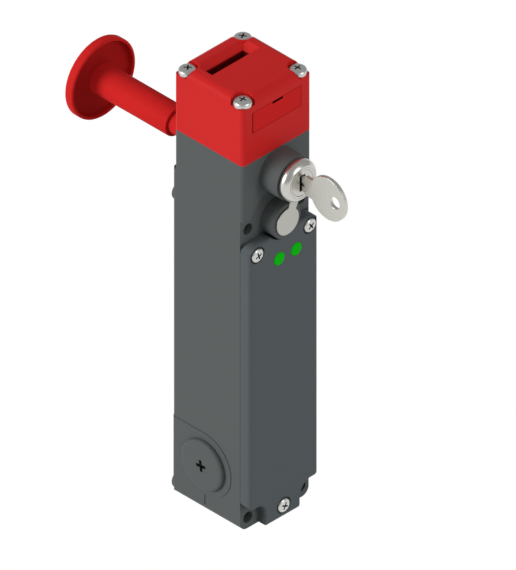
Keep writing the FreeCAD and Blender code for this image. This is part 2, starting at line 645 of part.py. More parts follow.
def housing_body():
    body = new_body("housing_body")
    feet = s.foot_corner
    grow(body, "Y", -DEEP, DEEP, rounded(-HALF, HALF, 0, s.body_height, feet, 0))
    grow(body, "Y", 0, REAR, rounded(-HALF, HALF, 0, REAR_PAD_TOP, feet, 0))
    pad_top = s.conduit_height + s.conduit_pad_radius
    for low, high in ((-PLUG_FOOT, -HALF), (HALF, PLUG_FOOT)):
        grow(body, "X", low, high, circle(s.conduit_back, s.conduit_height, s.conduit_pad_radius))
        grow(body, "X", low, high, rectangle(s.conduit_back, REAR, feet, pad_top))
    stretches = (
        (HALF, DEEP, REAR_PAD_TOP, s.body_height),
        (HALF, REAR, pad_top, REAR_PAD_TOP),
        (PLUG_FOOT, REAR, feet, pad_top),
        (HALF, REAR, length(0), feet),
    )
    for half, rear, low, high in stretches:
        wastes = [corner_waste(half * side, rear, side, 1, s.body_corner) for side in (-1, 1)]
        carve(body, "Z", low, high, *wastes)
    fronts = [corner_waste(HALF * side, -DEEP, side, -1, s.body_corner) for side in (-1, 1)]
    carve(body, "Z", 0, s.body_height, *fronts)
    carve(body, "Y", -DEEP, SEAT, rectangle(-HALF, HALF, 0, AUX + s.seat_above))
    carve(body, "Y", -DEEP, SEAT, circle(0, AUX, s.seat_disc))
    grow(body, "Y", AUX_FACE, SEAT, circle(0, AUX, s.aux_boss_radius))
    grow(body, "Y", AUX_FACE, SEAT, circle(s.pivot_right, PIVOT, s.lug_radius))
    grow(body, "Y", LOCK_FACE, SEAT, circle(0, LOCK, s.lock_boss_radius))
    bosses = [circle(x, z, s.rear_boss_radius) for x, z in MOUNT_HOLES]
    grow(body, "Y", REAR - s.rear_pad_rise, REAR + s.rear_boss_rise, *bosses)
    housing_chambers(body)
    housing_holes(body)
    return body


def housing_chambers(body):
    chamber = rectangle(-CHAMBER_HALF, CHAMBER_HALF, s.chamber_floor, CHAMBER_TOP)
    carve(body, "Y", SEAT, CHAMBER_REAR, chamber)
    ribs = []
    for side in (-1, 1):
        edges = sorted((s.rib_inner * side, (s.rib_inner + s.rib_width) * side), key=lambda x: x.number)
        ribs.append(rectangle(*edges, STRIP_LOW - s.rib_below, CHAMBER_TOP))
    grow(body, "Y", RIB_FACE, CHAMBER_REAR, *ribs)
    neck = rectangle(-s.neck_half, s.neck_half, -UPPER_DEEP, UPPER_DEEP)
    carve(body, "Z", PARTITION_TOP, NECK_TOP, neck)
    upper = rectangle(-s.upper_half, s.upper_half, -UPPER_DEEP, UPPER_DEEP)
    carve(body, "Z", NECK_TOP, s.body_height, upper)


def housing_holes(body):
    through = [circle(x, z, s.mount_hole) for x, z in MOUNT_HOLES]
    carve(body, "Y", SEAT, REAR + s.rear_boss_rise, *through)
    carve(body, "Y", LOCK_FACE, -UPPER_DEEP, circle(0, LOCK, s.barrel_radius + s.running_gap * 2))
    carve(body, "Y", AUX_FACE, -UPPER_DEEP, circle(0, AUX, s.spindle_shank + s.running_gap))
    sunk = AUX_FACE + s.spindle_sink + s.spindle_head_height
    carve(body, "Y", AUX_FACE, sunk, circle(0, AUX, s.spindle_head + s.running_gap * 2))
    pin_bore = circle(s.pivot_right, PIVOT, s.rivet_radius)
    carve(body, "Y", AUX_FACE, AUX_FACE + s.rivet_depth, pin_bore)
    for low, high in ((-PLUG_FOOT, -CHAMBER_HALF), (CHAMBER_HALF, PLUG_FOOT)):
        carve(body, "X", low, high, circle(s.conduit_back, s.conduit_height, s.conduit_hole))
    carve(body, "Z", 0, s.chamber_floor, circle(0, 0, s.entry_hole))
    bolt_bore = circle(0, s.bolt_back, s.bolt_rod_radius + s.running_gap)
    tappet_bore = circle(-s.tappet_left, s.bolt_back, s.tappet_radius + s.running_gap)
    carve(body, "Z", CHAMBER_TOP, PARTITION_TOP, bolt_bore, tappet_bore)
    lid_taps = [circle(x, z, s.lid_screw_tap) for x, z in LID_SCREWS]
    carve(body, "Y", SEAT, LID_SCREW_TIP + s.lid_screw_room, *lid_taps)
    head_taps = [circle(x, y, s.head_screw_tap) for x, y in HEAD_SCREWS]
    carve(body, "Z", HEAD_SCREW_TIP - s.head_screw_room, s.body_height, *head_taps)
    carve(body, "Y", UPPER_DEEP, REAR, circle(0, ESCAPE, s.escape_bush_radius))
    groove_side = s.head_groove_inner + s.groove_width
    groove_front = s.head_groove_front + s.groove_width
    outer = rectangle(-groove_side, groove_side, -groove_front, groove_front)
    inner = rectangle(-s.head_groove_inner, s.head_groove_inner, -s.head_groove_front, s.head_groove_front)
    carve(body, "Z", s.body_height - s.groove_depth, s.body_height, outer, inner)


def front_lid():
    body = new_body("front_lid")
    grow(body, "Y", LID_FRONT, SEAT, rectangle(-HALF, HALF, 0, LID_TOP))
    round_edges(body, s.lid_top_corner,
                lambda edge: lies(edge, "Y", LID_FRONT) and lies(edge, "Z", LID_TOP))
    round_edges(body, s.lid_foot_corner, lambda edge: lies(edge, "Y", LID_FRONT) and lies(edge, "Z", 0))
    round_edges(body, s.lid_corner, lambda edge: (
        reaches(edge, "Y", LID_FRONT, LID_FRONT + s.lid_foot_corner)
        and (lies(edge, "X", -HALF) or lies(edge, "X", HALF)) and not lies(edge, "Z", 0)))
    carve(body, "Y", LID_FRONT, SEAT, circle(0, AUX, s.lid_cutout))
    for side in (-1, 1):
        centre = MOUNT_SIDE * side
        edges = sorted((centre, HALF * side), key=lambda x: x.number)
        inner = (MOUNT_SIDE - s.notch_radius) * side
        tongue = sorted((inner, HALF * side), key=lambda x: x.number)
        carve(body, "Y", LID_FRONT, SEAT, circle(centre, s.mount_low, s.notch_radius))
        carve(body, "Y", LID_FRONT, SEAT, rectangle(*edges, 0, s.lid_side_end))
        carve(body, "Y", LID_FRONT, SEAT, rectangle(*tongue, 0, s.mount_low))
    recess_half = HALF - s.lid_rim
    recess = rectangle(-recess_half, recess_half, s.lid_recess_low, LID_RECESS_TOP)
    carve(body, "Y", LID_INSIDE, SEAT, recess)
    seats = [circle(x, z, s.lid_screw_seat) for x, z in LID_SCREWS]
    carve(body, "Y", LID_FRONT, LID_FRONT + s.lid_screw_sink, *seats)
    bores = [circle(x, z, s.lid_screw_bore) for x, z in LID_SCREWS]
    carve(body, "Y", LID_FRONT, SEAT, *bores)
    lamps = [circle(x, LENS, s.lens_radius + s.lens_gap) for x in (s.lens_left, s.lens_right)]
    carve(body, "Y", LID_FRONT, LID_INSIDE, *lamps)
    outer, inner = lid_groove(0)
    carve(body, "Y", SEAT - s.groove_depth, SEAT, outer, inner)
    return body


def lid_groove(gap):
    """The two outlines of the lid's gasket groove, or of the gasket a gap inside it."""
    recess_half = HALF - s.lid_rim
    near = s.lid_gasket_wall + gap
    far = s.lid_gasket_wall + s.groove_width - gap
    low, high = s.lid_recess_low, LID_RECESS_TOP
    inner = rectangle(-recess_half - near, recess_half + near, low - near, high + near)
    outer = rectangle(-recess_half - far, recess_half + far, low - far, high + far)
    return outer, inner


def lid_gasket():
    body = new_body("lid_gasket")
    outer, inner = lid_groove(s.gasket_gap)
    grow(body, "Y", SEAT - s.groove_depth, SEAT, outer, inner)
    return body


def head_gasket():
    body = new_body("head_gasket")
    near_side = s.head_groove_inner + s.gasket_gap
    near_front = s.head_groove_front + s.gasket_gap
    far_side = s.head_groove_inner + s.groove_width - s.gasket_gap
    far_front = s.head_groove_front + s.groove_width - s.gasket_gap
    outer = rectangle(-far_side, far_side, -far_front, far_front)
    inner = rectangle(-near_side, near_side, -near_front, near_front)
    grow(body, "Z", s.body_height - s.groove_depth, s.body_height, outer, inner)
    return body


def lid_screws():
    seat = LID_FRONT + s.lid_screw_sink
    face = seat - s.lid_screw_rise
    return pan_screws("lid_screws", "Y", LID_SCREWS, (face, seat, LID_SCREW_TIP),
                      s.lid_screw_head, s.lid_screw_shank)


def led_lens(name, across):
    body = new_body(name)
    flange = s.lens_radius + s.lens_lip
    front = LID_FRONT - s.lens_rise
    rear = LID_INSIDE + s.lens_flange_depth
    turn(body, "Y", (front, 0), (front, s.lens_radius - s.lens_rise), (LID_FRONT, s.lens_radius),
         (LID_INSIDE, s.lens_radius), (LID_INSIDE, flange), (rear, flange), (rear, 0))
    place(body, across, 0, LENS)
    return body


def led_board():
    body = new_body("led_board")
    chips = LID_INSIDE + s.lens_flange_depth + s.board_gap
    front = chips + s.board_gap
    edges = (s.board_left, s.board_right, LENS - s.board_below, LENS + s.board_above)
    grow(body, "Y", front, front + s.board_sheet, rectangle(*edges))
    low = LENS - s.lamp_half
    high = LENS + s.lamp_half
    lamps = [rectangle(x - s.lamp_half, x + s.lamp_half, low, high) for x in (s.lens_left, s.lens_right)]
    grow(body, "Y", chips, front, *lamps)
    return body


def actuator_head():
    body = new_body("actuator_head")
    outline = rounded(-HALF, HALF, -DEEP, DEEP, s.head_corner, s.head_corner)
    grow(body, "Z", s.body_height, HEAD_TOP, outline)
    round_edges(body, s.head_top_corner, lambda edge: lies(edge, "Z", HEAD_TOP))
    carve(body, "Z", s.body_height, HEAD_CAVITY_TOP,
          rectangle(-HEAD_CAVITY_HALF, HEAD_CAVITY_HALF, -HEAD_CAVITY_DEEP, HEAD_CAVITY_DEEP))
    mouth = HEAD_TOP - s.funnel_depth
    slot = slot_outline(s.slot_back)
    carve(body, "Z", HEAD_CAVITY_TOP, HEAD_TOP, slot)
    funnel(body, mouth)
    carve(body, "Y", -DEEP, -HEAD_CAVITY_DEEP, slot_outline(FRONT_SLOT))
    blank = s.blank_width / 2 + s.blank_gap
    low = FRONT_SLOT - s.blank_height / 2 - s.blank_gap
    high = FRONT_SLOT + s.blank_height / 2 + s.blank_gap
    carve(body, "Y", -DEEP, s.blank_depth - DEEP, rectangle(-blank, blank, low, high))
    pockets = [circle(x, y, s.head_screw_pocket) for x, y in HEAD_SCREWS]
    carve(body, "Z", HEAD_SCREW_SEAT, HEAD_TOP, *pockets)
    bores = [circle(x, y, s.head_screw_bore) for x, y in HEAD_SCREWS]
    carve(body, "Z", s.body_height, HEAD_SCREW_SEAT, *bores)
    end = s.axle_reach + s.running_gap
    carve(body, "X", -end, end, circle(0, AXLE, s.axle_radius + s.running_gap))
    return body


def slot_outline(middle):
    half = s.slot_width / 2
    return rectangle(-half, half, middle - s.slot_gap / 2, middle + s.slot_gap / 2)


def funnel(body, mouth):
    """The sloped mouth of the top slot: its four sides widen at 45 degrees up to the head's top."""
    half = s.slot_width / 2
    bottom = sketch_at(body, "Z", mouth, [slot_outline(s.slot_back)])
    near = s.slot_back - s.slot_gap / 2 - s.funnel_depth
    far = s.slot_back + s.slot_gap / 2 + s.funnel_depth
    wide = half + s.funnel_depth
    top = sketch_at(body, "Z", HEAD_TOP, [rectangle(-wide, wide, near, far)])
    feature = body.newObject("PartDesign::SubtractiveLoft", "Funnel")
    feature.Profile = bottom
    feature.Sections = [top]
    feature.Ruled = True


def front_slot_blank():
    body = new_body("front_slot_blank")
    half = s.blank_width / 2
    low = FRONT_SLOT - s.blank_height / 2
    high = FRONT_SLOT + s.blank_height / 2
    grow(body, "Y", -DEEP, s.blank_depth - DEEP, rectangle(-half, half, low, high))
    tongue_half = half - (s.blank_width - s.slot_width) / 2 - s.blank_gap
    tongue = s.slot_gap / 2 - s.blank_gap
    grow(body, "Y", s.blank_depth - DEEP, -HEAD_CAVITY_DEEP,
         rectangle(-tongue_half, tongue_half, FRONT_SLOT - tongue, FRONT_SLOT + tongue))
    slit = rectangle(s.pry_left, s.pry_right, high - s.pry_height, high)
    carve(body, "Y", -DEEP, s.blank_depth / 2 - DEEP, slit)
    return body


def head_screws():
    face = HEAD_SCREW_SEAT + s.head_screw_rise
    return pan_screws("head_screws", "Z", HEAD_SCREWS, (face, HEAD_SCREW_SEAT, HEAD_SCREW_TIP),
                      s.head_screw_head, s.head_screw_shank)


def rotor_axle():
    body = new_body("rotor_axle")
    grow(body, "X", -s.axle_reach, s.axle_reach, circle(0, AXLE, s.axle_radius))
    return body


def spiral(high, low, flat_end, flank_end):
    """The closed section of a cam: its relief falls evenly from the bottom over the rotor's turn."""
    bottom = -90
    turned = bottom + s.rotor_turn.number
    fall = []
    for step in range(13):
        share = step / 12
        radius = high + (low - high) * share
        fall.append(polar(radius, bottom + (turned - bottom) * share))
    curve = Part.BSplineCurve()
    curve.interpolate(fall)
    relief = Part.Arc(polar(low, turned), polar(low, (turned + flat_end) / 2), polar(low, flat_end))
    flank = Part.LineSegment(polar(low, flat_end), polar(high, flank_end))
    rim = Part.Arc(polar(high, flank_end), polar(high, (flank_end + 270) / 2), polar(high, bottom))
    edges = [piece.toShape() for piece in (curve, relief, flank, rim)]
    return Part.Face(Part.Wire(edges))


def polar(radius, degrees):
    """A point of a cam's section, in the plane across the axle."""
    angle = math.radians(degrees)
    return Vector(0, radius * math.cos(angle), radius * math.sin(angle))


def head_rotor():
    """The turned cams follow a formula, so this piece is made from its section."""
    half = s.rotor_half.number
    wheel = spiral(s.rotor_radius.number, s.rotor_relief.number, 8, 12)
    wheel.translate(Vector(-half, 0, 0))
    wheel = wheel.extrude(Vector(2 * half, 0, 0))
    cam = spiral(s.cam_high.number, s.cam_low.number, 15, 20)
    cam.translate(Vector(-s.cam_outer.number, 0, 0))
    cam = cam.extrude(Vector(s.cam_outer.number - half, 0, 0))
    reach = s.hub_reach.number
    hub = Part.makeCylinder(s.hub_radius.number, 2 * reach, Vector(-reach, 0, 0), Vector(1, 0, 0))
    rotor = wheel.fuse([cam, hub])
    width = s.rotor_notch.number
    slot_angle = math.degrees(math.acos(s.slot_back.number / s.rotor_radius.number)) + s.notch_lead.number
    for angle in (slot_angle, slot_angle + 90):
        start = Vector(-half, s.rotor_radius.number - width, -width / 2)
        notch = Part.makeBox(2 * half, width, width, start)
        notch.rotate(Vector(0, 0, 0), Vector(1, 0, 0), angle)
        rotor = rotor.cut(notch)
    bore = s.axle_radius.number + s.running_gap.number
    rotor = rotor.cut(Part.makeCylinder(bore, 2 * reach, Vector(-reach, 0, 0), Vector(1, 0, 0)))
    feature = doc.addObject("Part::Feature", "head_rotor")
    feature.Label = "head_rotor"
    feature.Shape = rotor.removeSplitter()
    feature.Placement = Placement(Vector(0, 0, AXLE.number), Rotation())
    return feature


def locking_bolt():
    body = new_body("locking_bolt")
    half = s.bolt_nose_width / 2
    near = s.bolt_back - s.bolt_nose_depth / 2
    far = s.bolt_back + s.bolt_nose_depth / 2
    axis = circle(0, s.bolt_back, s.bolt_body_radius)
    grow(body, "Z", BOLT_STEP, BOLT_SHOULDER, axis)
    grow(body, "Z", BOLT_SHOULDER, BOLT_TOP, rectangle(-half, half, near, far))
    grow(body, "Z", BOLT_ROD_END, BOLT_STEP, circle(0, s.bolt_back, s.bolt_rod_radius))
    return body


def solenoid_armature():
    body = new_body("solenoid_armature")
    low = POLE_TOP + s.armature_gap
    grow(body, "Z", low, ARMATURE_TOP, circle(0, s.bolt_back, s.armature_radius))
    socket = circle(0, s.bolt_back, s.bolt_rod_radius + s.running_gap)
    carve(body, "Z", BOLT_ROD_END - s.running_gap, ARMATURE_TOP, socket)
    return body


def lock_monitor_arm():
    body = new_body("lock_monitor_arm")
    top = ARM_LOW + s.arm_height
    near = s.bolt_back - s.arm_half
    far = s.bolt_back + s.arm_half
    right = s.arm_pin_right + s.tappet_radius
    grow(body, "Z", ARM_LOW, top, rectangle(-s.arm_left, right, near, far))
    arm_pin = circle(s.arm_pin_right, s.bolt_back, s.tappet_radius)
    grow(body, "Z", ARM_LOW - s.arm_pin_length, ARM_LOW, arm_pin)
    carve(body, "Z", ARM_LOW, top, circle(0, s.bolt_back, s.bolt_rod_radius + s.running_gap))
    return body


def guard_tappet():
    body = new_body("guard_tappet")
    grow(body, "Z", TAPPET_END, TAPPET_TOP, circle(-s.tappet_left, s.bolt_back, s.tappet_radius))
    return body


def contact_block(name, side):
    """A switch block: its plunger bore is on top and its clamp screws are on the front."""
    body = new_body(name)
    inner, outer = s.contact_inner * side, CONTACT_OUTER * side
    edges = sorted((inner, outer), key=lambda x: x.number)
    high = CONTACT_LOW + s.contact_height
    front = RIB_FACE - s.contact_depth
    grow(body, "Z", CONTACT_LOW, high, rectangle(*edges, front, RIB_FACE))
    plunger = s.tappet_left if side < 0 else s.arm_pin_right
    bore = circle(plunger * side, s.bolt_back, s.tappet_radius + s.running_gap)
    carve(body, "Z", high - s.contact_bore_depth, high, bore)
    middle = (s.contact_inner + CONTACT_OUTER) * 0.5 * side
    clamps = [circle(middle, CONTACT_LOW + s.contact_height * share, s.contact_terminal_radius)
              for share in (0.2, 0.5, 0.8)]
    carve(body, "Y", front, front + s.contact_terminal_radius, *clamps)
    return body


def solenoid_yoke():
    """A bent sheet frame round the winding, open at the front and rear."""
    body = new_body("solenoid_yoke")
    half = s.yoke_half
    grow(body, "Y", -s.yoke_front, RIB_FACE, rectangle(-half, half, YOKE_LOW, YOKE_HIGH))
    inner = half - s.yoke_sheet
    carve(body, "Y", -s.yoke_front, RIB_FACE, rectangle(-inner, inner, BOBBIN_LOW, BOBBIN_HIGH))
    bore = circle(0, s.bolt_back, s.bobbin_bore)
    carve(body, "Z", BOBBIN_HIGH, YOKE_HIGH, bore)
    return body


def solenoid_pole():
    body = new_body("solenoid_pole")
    grow(body, "Z", BOBBIN_LOW, POLE_TOP, circle(0, s.bolt_back, s.armature_radius))
    return body


def solenoid_bobbin():
    body = new_body("solenoid_bobbin")
    tube = s.bobbin_bore + s.bobbin_wall
    bore = circle(0, s.bolt_back, s.bobbin_bore)
    grow(body, "Z", BOBBIN_LOW, BOBBIN_HIGH, circle(0, s.bolt_back, tube), bore)
    for low in (BOBBIN_LOW, BOBBIN_HIGH - s.bobbin_flange_height):
        flange = circle(0, s.bolt_back, s.bobbin_flange)
        grow(body, "Z", low, low + s.bobbin_flange_height, flange, bore)
    return body


def solenoid_coil():
    body = new_body("solenoid_coil")
    low = BOBBIN_LOW + s.bobbin_flange_height + s.gasket_gap
    high = BOBBIN_HIGH - s.bobbin_flange_height - s.gasket_gap
    inner = s.bobbin_bore + s.bobbin_wall + s.gasket_gap
    grow(body, "Z", low, high, circle(0, s.bolt_back, s.coil_radius), circle(0, s.bolt_back, inner))
    return body


def bolt_spring():
    """A square wire wound on a helix, from the partition to the bolt's thick part."""
    low = PARTITION_TOP.number + s.spring_wire.number + s.running_gap.number
    high = BOLT_STEP.number - s.spring_wire.number - s.running_gap.number
    height = high - low
    pitch = height / s.spring_turns.number
    radius = s.spring_radius.number
    wire = Part.Wire(Part.makeHelix(pitch, height, radius))
    half = s.spring_wire.number
    signs = ((-1, -1), (1, -1), (1, 1), (-1, 1))
    corners = [Vector(radius + half * across, 0, half * up) for across, up in signs]
    section = Part.makePolygon(corners + corners[:1])
    feature = doc.addObject("Part::Feature", "bolt_spring")
    feature.Label = "bolt_spring"
    feature.Shape = wire.makePipeShell([section], True, True)
    feature.Placement = Placement(Vector(0, s.bolt_back.number, low), Rotation())
    return feature


def strip_places():
    """Centres of the terminals along the strip."""
    pitch = STRIP_HALF * 2 / s.strip_poles.number
    return [pitch * (index + 0.5) - STRIP_HALF for index in range(int(s.strip_poles.number))]


def terminal_strip():
    body = new_body("terminal_strip")
    high = STRIP_LOW + s.strip_height
    half = STRIP_HALF
    grow(body, "Z", STRIP_LOW, high, rectangle(-half, half, s.strip_front, RIB_FACE))
    middle = STRIP_LOW + s.strip_height / 2
    bores = [circle(x, middle, s.terminal_radius + s.running_gap) for x in strip_places()]
    carve(body, "Y", s.strip_front, s.strip_front + s.terminal_length, *bores)
    return body


def terminal_screws():
    body = new_body("terminal_screws")
    front = s.strip_front + s.running_gap * 10
    middle = STRIP_LOW + s.strip_height / 2
    screws = [circle(x, middle, s.terminal_radius) for x in strip_places()]
    grow(body, "Y", front, s.strip_front + s.terminal_length, *screws)
    half = s.terminal_radius * 0.2
    reach = s.terminal_radius * 0.8
    slots = [rectangle(x - reach, x + reach, middle - half, middle + half) for x in strip_places()]
    carve(body, "Y", front, front + s.terminal_radius * 0.4, *slots)
    return body


def lock_barrel():
    """The bezel and the threaded barrel behind it, turned in one."""
    body = new_body("lock_barrel")
    bore = s.core_radius + s.running_gap
    rear = -s.barrel_end
    wide = BEZEL_FOOT - s.bezel_wide_at
    deep = (wide - BEZEL_FACE).number
    fall = (s.bezel_radius - s.bezel_face).number
    dome = (deep ** 2 + fall ** 2) / (2 * fall)
    half_angle = math.asin(deep / dome) / 2
    middle = (wide.number - dome * math.sin(half_angle),
              s.bezel_radius.number - dome * (1 - math.cos(half_angle)))
    turn(body, "Y", (BEZEL_FACE, bore), (BEZEL_FACE, s.bezel_face, length(dome), middle),
         (wide, s.bezel_radius), (BEZEL_FOOT, s.bezel_foot), (BEZEL_FOOT, s.barrel_radius),
         (rear, s.barrel_radius), (rear, bore))
    place(body, 0, 0, LOCK)
    return body


def lock_core():
    body = new_body("lock_core")
    face = BEZEL_FACE + s.core_sink
    grow(body, "Y", face, s.running_gap - s.barrel_end, circle(0, LOCK, s.core_radius))
    half = s.keyway_width / 2
    tall = s.keyway_height / 2
    carve(body, "Y", face, -s.keyway_end, rectangle(-half, half, LOCK - tall, LOCK + tall))
    wide = s.keyway_mouth / 2
    carve(body, "Y", face, face + s.keyway_mouth_depth, rectangle(-wide, wide, LOCK - tall, LOCK + tall))
    return body


def lock_cam():
    body = new_body("lock_cam")
    front = s.running_gap - s.barrel_end
    grow(body, "Y", front, front + s.lock_cam_sheet, circle(0, LOCK, s.lock_cam_hub))
    grow(body, "Y", front, front + s.lock_cam_sheet,
         rectangle(-s.lock_cam_half, s.lock_cam_half, LOCK, LOCK + s.lock_cam_reach))
    return body


def lock_nut():
    body = new_body("lock_nut")
    nut = s.lock_boss_radius - s.nut_inset
    grow(body, "Y", -UPPER_DEEP, s.nut_height - UPPER_DEEP, circle(0, LOCK, nut),
         circle(0, LOCK, s.barrel_radius + s.running_gap))
    return body


def key():
    """A flat key with a round bow, in the lock. It stands upright in the keyway."""
    body = new_body("key")
    half = s.key_sheet / 2
    tall = s.key_blade_height / 2
    shoulder = s.key_shoulder_height / 2
    blade = rectangle(-s.key_bow_front, -s.key_blade_end, LOCK - tall, LOCK + tall)
    collar = rectangle(-s.key_bow_front, -s.key_shoulder_front, LOCK - shoulder, LOCK + shoulder)
    grow(body, "X", -half, half, blade)
    grow(body, "X", -half, half, collar)
    grow(body, "X", -half, half, circle(-s.key_bow_front, LOCK, s.key_bow_radius))
    carve(body, "X", -half, half, circle(-s.key_hole_front, LOCK, s.key_hole_radius))
    groove = s.key_groove_width / 2
    for low, high in ((-half, s.key_groove_depth - half), (half - s.key_groove_depth, half)):
        carve(body, "X", low, high,
              rectangle(-s.key_shoulder_front, -s.key_blade_end, LOCK - groove, LOCK + groove))
    return body


def release_cover():
    """A small plate that swings aside on its pin and bares the auxiliary release."""
    body = new_body("release_cover")
    rear = AUX_FACE - s.cover_gap
    front = rear - s.cover_sheet
    grow(body, "Y", front, rear, circle(0, AUX, s.cover_radius))
    slope = math.atan2(s.pivot_up.number, s.pivot_right.number)
    normal = (math.sin(slope), -math.cos(slope))
    ear = s.cover_ear
    foot = (-ear * normal[0], AUX - ear * normal[1]), (ear * normal[0], AUX + ear * normal[1])
    top = ((s.pivot_right + ear * normal[0], PIVOT + ear * normal[1]),
           (s.pivot_right - ear * normal[0], PIVOT - ear * normal[1]))
    grow(body, "Y", front, rear, path(foot[0], foot[1], top[0], top[1]))
    grow(body, "Y", front, rear, circle(s.pivot_right, PIVOT, ear))
    carve(body, "Y", front, rear, circle(s.pivot_right, PIVOT, s.rivet_radius + s.running_gap))
    return body


def cover_rivet():
    body = new_body("cover_rivet")
    face = AUX_FACE - s.cover_gap - s.cover_sheet - s.running_gap
    grow(body, "Y", face, AUX_FACE + s.rivet_depth, circle(s.pivot_right, PIVOT, s.rivet_radius))
    grow(body, "Y", face - s.rivet_rise, face, circle(s.pivot_right, PIVOT, s.rivet_head))
    return body


def aux_release_spindle():
    body = new_body("aux_release_spindle")
    face = AUX_FACE + s.spindle_sink
    step = face + s.spindle_head_height
    grow(body, "Y", face, step - s.running_gap, circle(0, AUX, s.spindle_head))
    grow(body, "Y", step - s.running_gap, -s.spindle_end, circle(0, AUX, s.spindle_shank))
    grow(body, "Y", -s.spindle_end, -s.spindle_pin_end, circle(0, AUX + s.spindle_throw, s.spindle_pin))
    corners = []
    for angle in (90, 210, 330):
        across = s.spindle_key * math.cos(math.radians(angle))
        up = s.spindle_key * math.sin(math.radians(angle))
        corners.append((across, AUX + up))
    carve(body, "Y", face, step - s.spindle_sink, path(*corners))
    groove = circle(0, AUX, s.spindle_shank - s.spindle_groove)
    rim = circle(0, AUX, s.spindle_shank + s.running_gap)
    start = step + s.spindle_groove
    carve(body, "Y", start, start + s.seal_width + s.seal_gap * 2, rim, groove)
    return body


def spindle_seal():
    """A ring in the spindle's groove."""
    body = new_body("spindle_seal")
    start = AUX_FACE + s.spindle_sink + s.spindle_head_height + s.spindle_groove + s.seal_gap
    grow(body, "Y", start, start + s.seal_width, circle(0, AUX, s.spindle_shank),
         circle(0, AUX, s.spindle_shank - s.spindle_groove + s.seal_gap))
    return body


def escape_rod():
    body = new_body("escape_rod")
    shoulder = s.escape_sleeve_start + s.escape_spigot_step
    tip = shoulder + s.escape_spigot_length
    clip_rear = s.escape_bush_inner - s.escape_clip_gap
    clip_front = clip_rear - s.escape_clip_sheet
    grow(body, "Y", ESCAPE_ROD_START, shoulder, circle(0, ESCAPE, s.escape_rod))
    grow(body, "Y", shoulder, tip, circle(0, ESCAPE, s.escape_spigot))
    rim = circle(0, ESCAPE, s.escape_rod + s.running_gap)
    carve(body, "Y", clip_front - s.running_gap, clip_rear + s.running_gap, rim,
          circle(0, ESCAPE, s.escape_clip_groove))
    return body


def escape_clip():
    """A retaining ring, open at the bottom."""
    body = new_body("escape_clip")
    rear = s.escape_bush_inner - s.escape_clip_gap
    front = rear - s.escape_clip_sheet
    inner = s.escape_clip_groove + s.running_gap
    grow(body, "Y", front, rear, circle(0, ESCAPE, s.escape_clip_radius), circle(0, ESCAPE, inner))
    gap = s.escape_clip_groove / 2
    carve(body, "Y", front, rear, rectangle(-gap, gap, ESCAPE - s.escape_clip_radius, ESCAPE - gap))
    return body


def escape_bush():
    body = new_body("escape_bush")
    grow(body, "Y", s.escape_bush_inner, DEEP, circle(0, ESCAPE, s.escape_bush_radius),
         circle(0, ESCAPE, s.escape_rod + s.running_gap))
    return body


def escape_knob():
    """The mushroom and its sleeve, moulded in one. The dish faces the housing."""
    body = new_body("escape_knob")
    start = s.escape_sleeve_start
    shoulder = start + s.escape_spigot_step
    rim = s.knob_rim_at
    floor = rim + s.knob_dish
    back = rim + s.knob_rim
    crown = back + s.knob_crown
    bore = s.escape_spigot + s.running_gap
    deep = shoulder + s.escape_spigot_length + s.running_gap
    lip = s.knob_radius - s.knob_lip
    rise = s.knob_crown.number
    reach = s.knob_radius.number
    crown_radius = (reach ** 2 + rise ** 2) / (2 * rise)
    half_angle = math.asin(reach / crown_radius) / 2
    middle = (crown.number - crown_radius * (1 - math.cos(half_angle)), crown_radius * math.sin(half_angle))
    fit = s.escape_rod + s.running_gap
    turn(body, "Y", (start, fit), (start, s.escape_sleeve), (floor, s.escape_sleeve),
         (floor, lip - s.knob_dish), (rim, lip), (rim, s.knob_radius),
         (back, s.knob_radius, length(crown_radius), middle), (crown, 0), (deep, 0), (deep, bore),
         (shoulder, bore), (shoulder, fit))
    place(body, 0, 0, ESCAPE)
    round_edges(body, s.knob_root, lambda edge: lies(edge, "Y", floor) and is_circle(edge, s.escape_sleeve))
    return body


def plug(name, side):
    body = new_body(name)
    foot, face = PLUG_FOOT * side, (PLUG_FOOT + s.plug_rise) * side
    inner = CHAMBER_HALF * side
    centre = (s.conduit_back, s.conduit_height)
    ends = sorted((foot, face), key=lambda x: x.number)
    grow(body, "X", *ends, circle(*centre, s.plug_radius))
    round_edges(body, s.plug_rounding, lambda edge: lies(edge, "X", face))
    shank = sorted((foot, inner), key=lambda x: x.number)
    grow(body, "X", *shank, circle(*centre, s.plug_shank), circle(*centre, s.plug_bore))
    bottom = (PLUG_FOOT + s.plug_rise - s.plug_recess_depth) * side
    recess = sorted((bottom, face), key=lambda x: x.number)
    carve(body, "X", *recess, cross(*centre, s.plug_recess_half, s.plug_recess_reach))
    seal_top = (PLUG_FOOT + s.plug_seal_sheet) * side
    seat = sorted((foot, seal_top), key=lambda x: x.number)
    rim = circle(*centre, s.plug_seal_outer + s.gasket_gap)
    carve(body, "X", *seat, rim, circle(*centre, s.plug_shank))
    return body


def plug_seal(name, side):
    body = new_body(name)
    edges = sorted((PLUG_FOOT * side, (PLUG_FOOT + s.plug_seal_sheet) * side), key=lambda x: x.number)
    grow(body, "X", *edges, circle(s.conduit_back, s.conduit_height, s.plug_seal_outer),
         circle(s.conduit_back, s.conduit_height, s.plug_shank + s.gasket_gap))
    return body


def export(pieces):
    """Checks every object, then writes one file for each piece."""
    doc.recompute()
    for item in doc.Objects:
        if "Invalid" in item.State or "Error" in item.State:
            raise RuntimeError(f"{item.Name} failed: {item.State}")
    for piece in pieces:
        if piece.Shape.isNull() or not piece.Shape.isValid():
            raise RuntimeError(f"{piece.Label} has no valid shape")
    os.makedirs("parts", exist_ok=True)
    for piece in pieces:
        piece.Shape.exportStep(f"parts/{piece.Label}.step")


